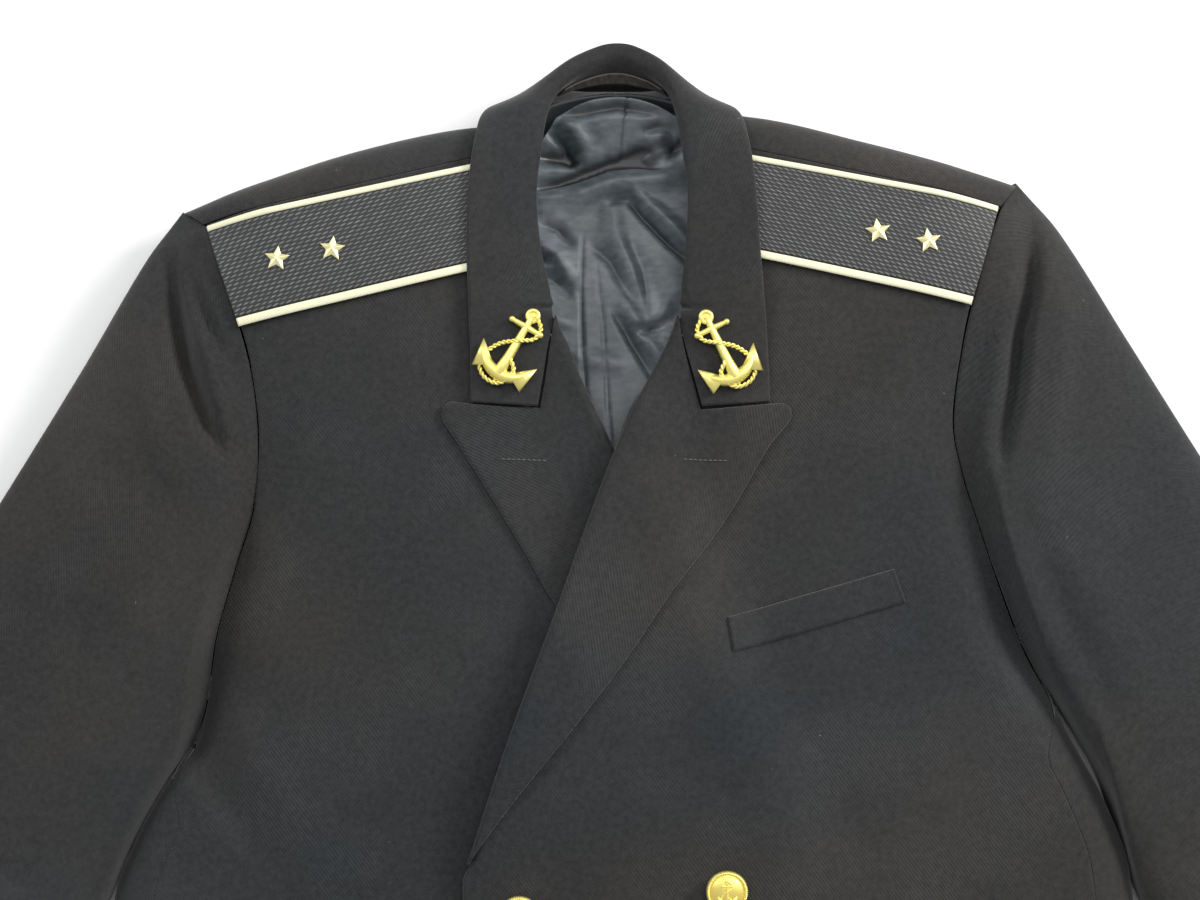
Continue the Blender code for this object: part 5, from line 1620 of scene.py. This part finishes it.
def add_light(name, spot, aim, size, watts, colour=(1.0, 1.0, 1.0)):
    data = bpy.data.lights.new(name, "AREA")
    data.shape = "DISK"
    data.size = size
    data.energy = watts
    data.color = colour
    lamp = put_in_scene(name, data)
    lamp.location = spot
    lamp.rotation_euler = (Vector(aim) - Vector(spot)).to_track_quat("-Z", "Y").to_euler()


def make_camera():
    """The photograph is taken from almost straight above, a little from the hem's side."""
    aim = place((-9.9, 0.0, 20.0))
    distance = 1.2
    height = math.radians(80.0)
    data = bpy.data.cameras.new("camera")
    data.sensor_width = 36.0
    data.lens = 36.0 * distance / 0.66
    camera = put_in_scene("camera", data)
    back = Vector((0.0, math.cos(height), -math.sin(height))) * distance
    camera.location = aim - back
    camera.rotation_euler = back.to_track_quat("-Z", "Y").to_euler()
    bpy.context.scene.camera = camera


def light_the_table():
    world = bpy.data.worlds.new("studio")
    world.use_nodes = True
    sky = world.node_tree.nodes["Background"]
    sky.inputs["Color"].default_value = (1.0, 1.0, 1.0, 1.0)
    sky.inputs["Strength"].default_value = 0.56
    bpy.context.scene.world = world
    add_light("window", (-1.6, 1.3, 1.4), (0.0, 0.1, 0.0), 0.9, 17.0, (0.96, 0.99, 1.0))
    add_light("ceiling", (0.5, 0.9, 2.4), (0.0, 0.1, 0.0), 1.5, 19.0)
    add_light("wall", (1.8, 1.1, 1.1), (0.1, 0.1, 0.0), 0.8, 42.0, (1.0, 0.98, 0.95))
    bpy.context.scene.view_settings.view_transform = "Standard"


# The cut of each piece of cloth that shows, in metres, and its flat area in square metres
Cut = namedtuple("Cut", "width length area held rests_on")
CUTS = {
    "back": Cut(0.500, 0.810, 0.362, "laid", ()),
    "front_right": Cut(0.345, 0.770, 0.203, "laid", ("back",)),
    "front_left": Cut(0.345, 0.775, 0.204, "laid", ("back", "front_right")),
    "side_right": Cut(0.082, 0.440, 0.0242, "laid", ("back",)),
    "side_left": Cut(0.082, 0.475, 0.0270, "laid", ("back",)),
    "upper_sleeve_right": Cut(0.230, 0.650, 0.114, "laid", ("under_sleeve_right",)),
    "upper_sleeve_left": Cut(0.220, 0.650, 0.108, "laid", ("under_sleeve_left",)),
    "under_sleeve_right": Cut(0.150, 0.640, 0.0648, "laid", ()),
    "under_sleeve_left": Cut(0.145, 0.640, 0.0624, "laid", ()),
    "lapel_right": Cut(0.125, 0.300, 0.0202, "folded", ("front_right",)),
    "lapel_left": Cut(0.125, 0.300, 0.0195, "folded", ("front_left",)),
    "shoulder_strap_right": Cut(0.054, 0.160, 0.0084, "laid", ("front_right",)),
    "shoulder_strap_left": Cut(0.054, 0.148, 0.0076, "laid", ("front_left",)),
    "collar": Cut(0.110, 0.500, 0.0270, "folded", ("back",)),
    "back_lining": Cut(0.130, 0.280, 0.0276, "laid", ("back",)),
    "collar_band": Cut(0.012, 0.070, 0.0005, "laid", ("collar",)),
    "breast_welt": Cut(0.022, 0.098, 0.0020, "laid", ("front_left",)),
}


def declare_cuts():
    for name, cut in CUTS.items():
        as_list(cut.rests_on)


def build():
    make_back()
    for side, name in SIDES.items():
        make_front(side, "front_" + name)
        make_side(side, "side_" + name)
        make_sleeve(side, "upper_sleeve_" + name, "under_sleeve_" + name)
        make_lapel(side, "lapel_" + name)
        make_strap(side, name)
        make_stars(side, name)
        make_buttonhole_mark(side, name)
    make_collar()
    make_lining()
    make_band()
    make_welt()
    make_anchors()
    make_buttons()
    make_stage()
    make_camera()
    light_the_table()


build()
declare_cuts()
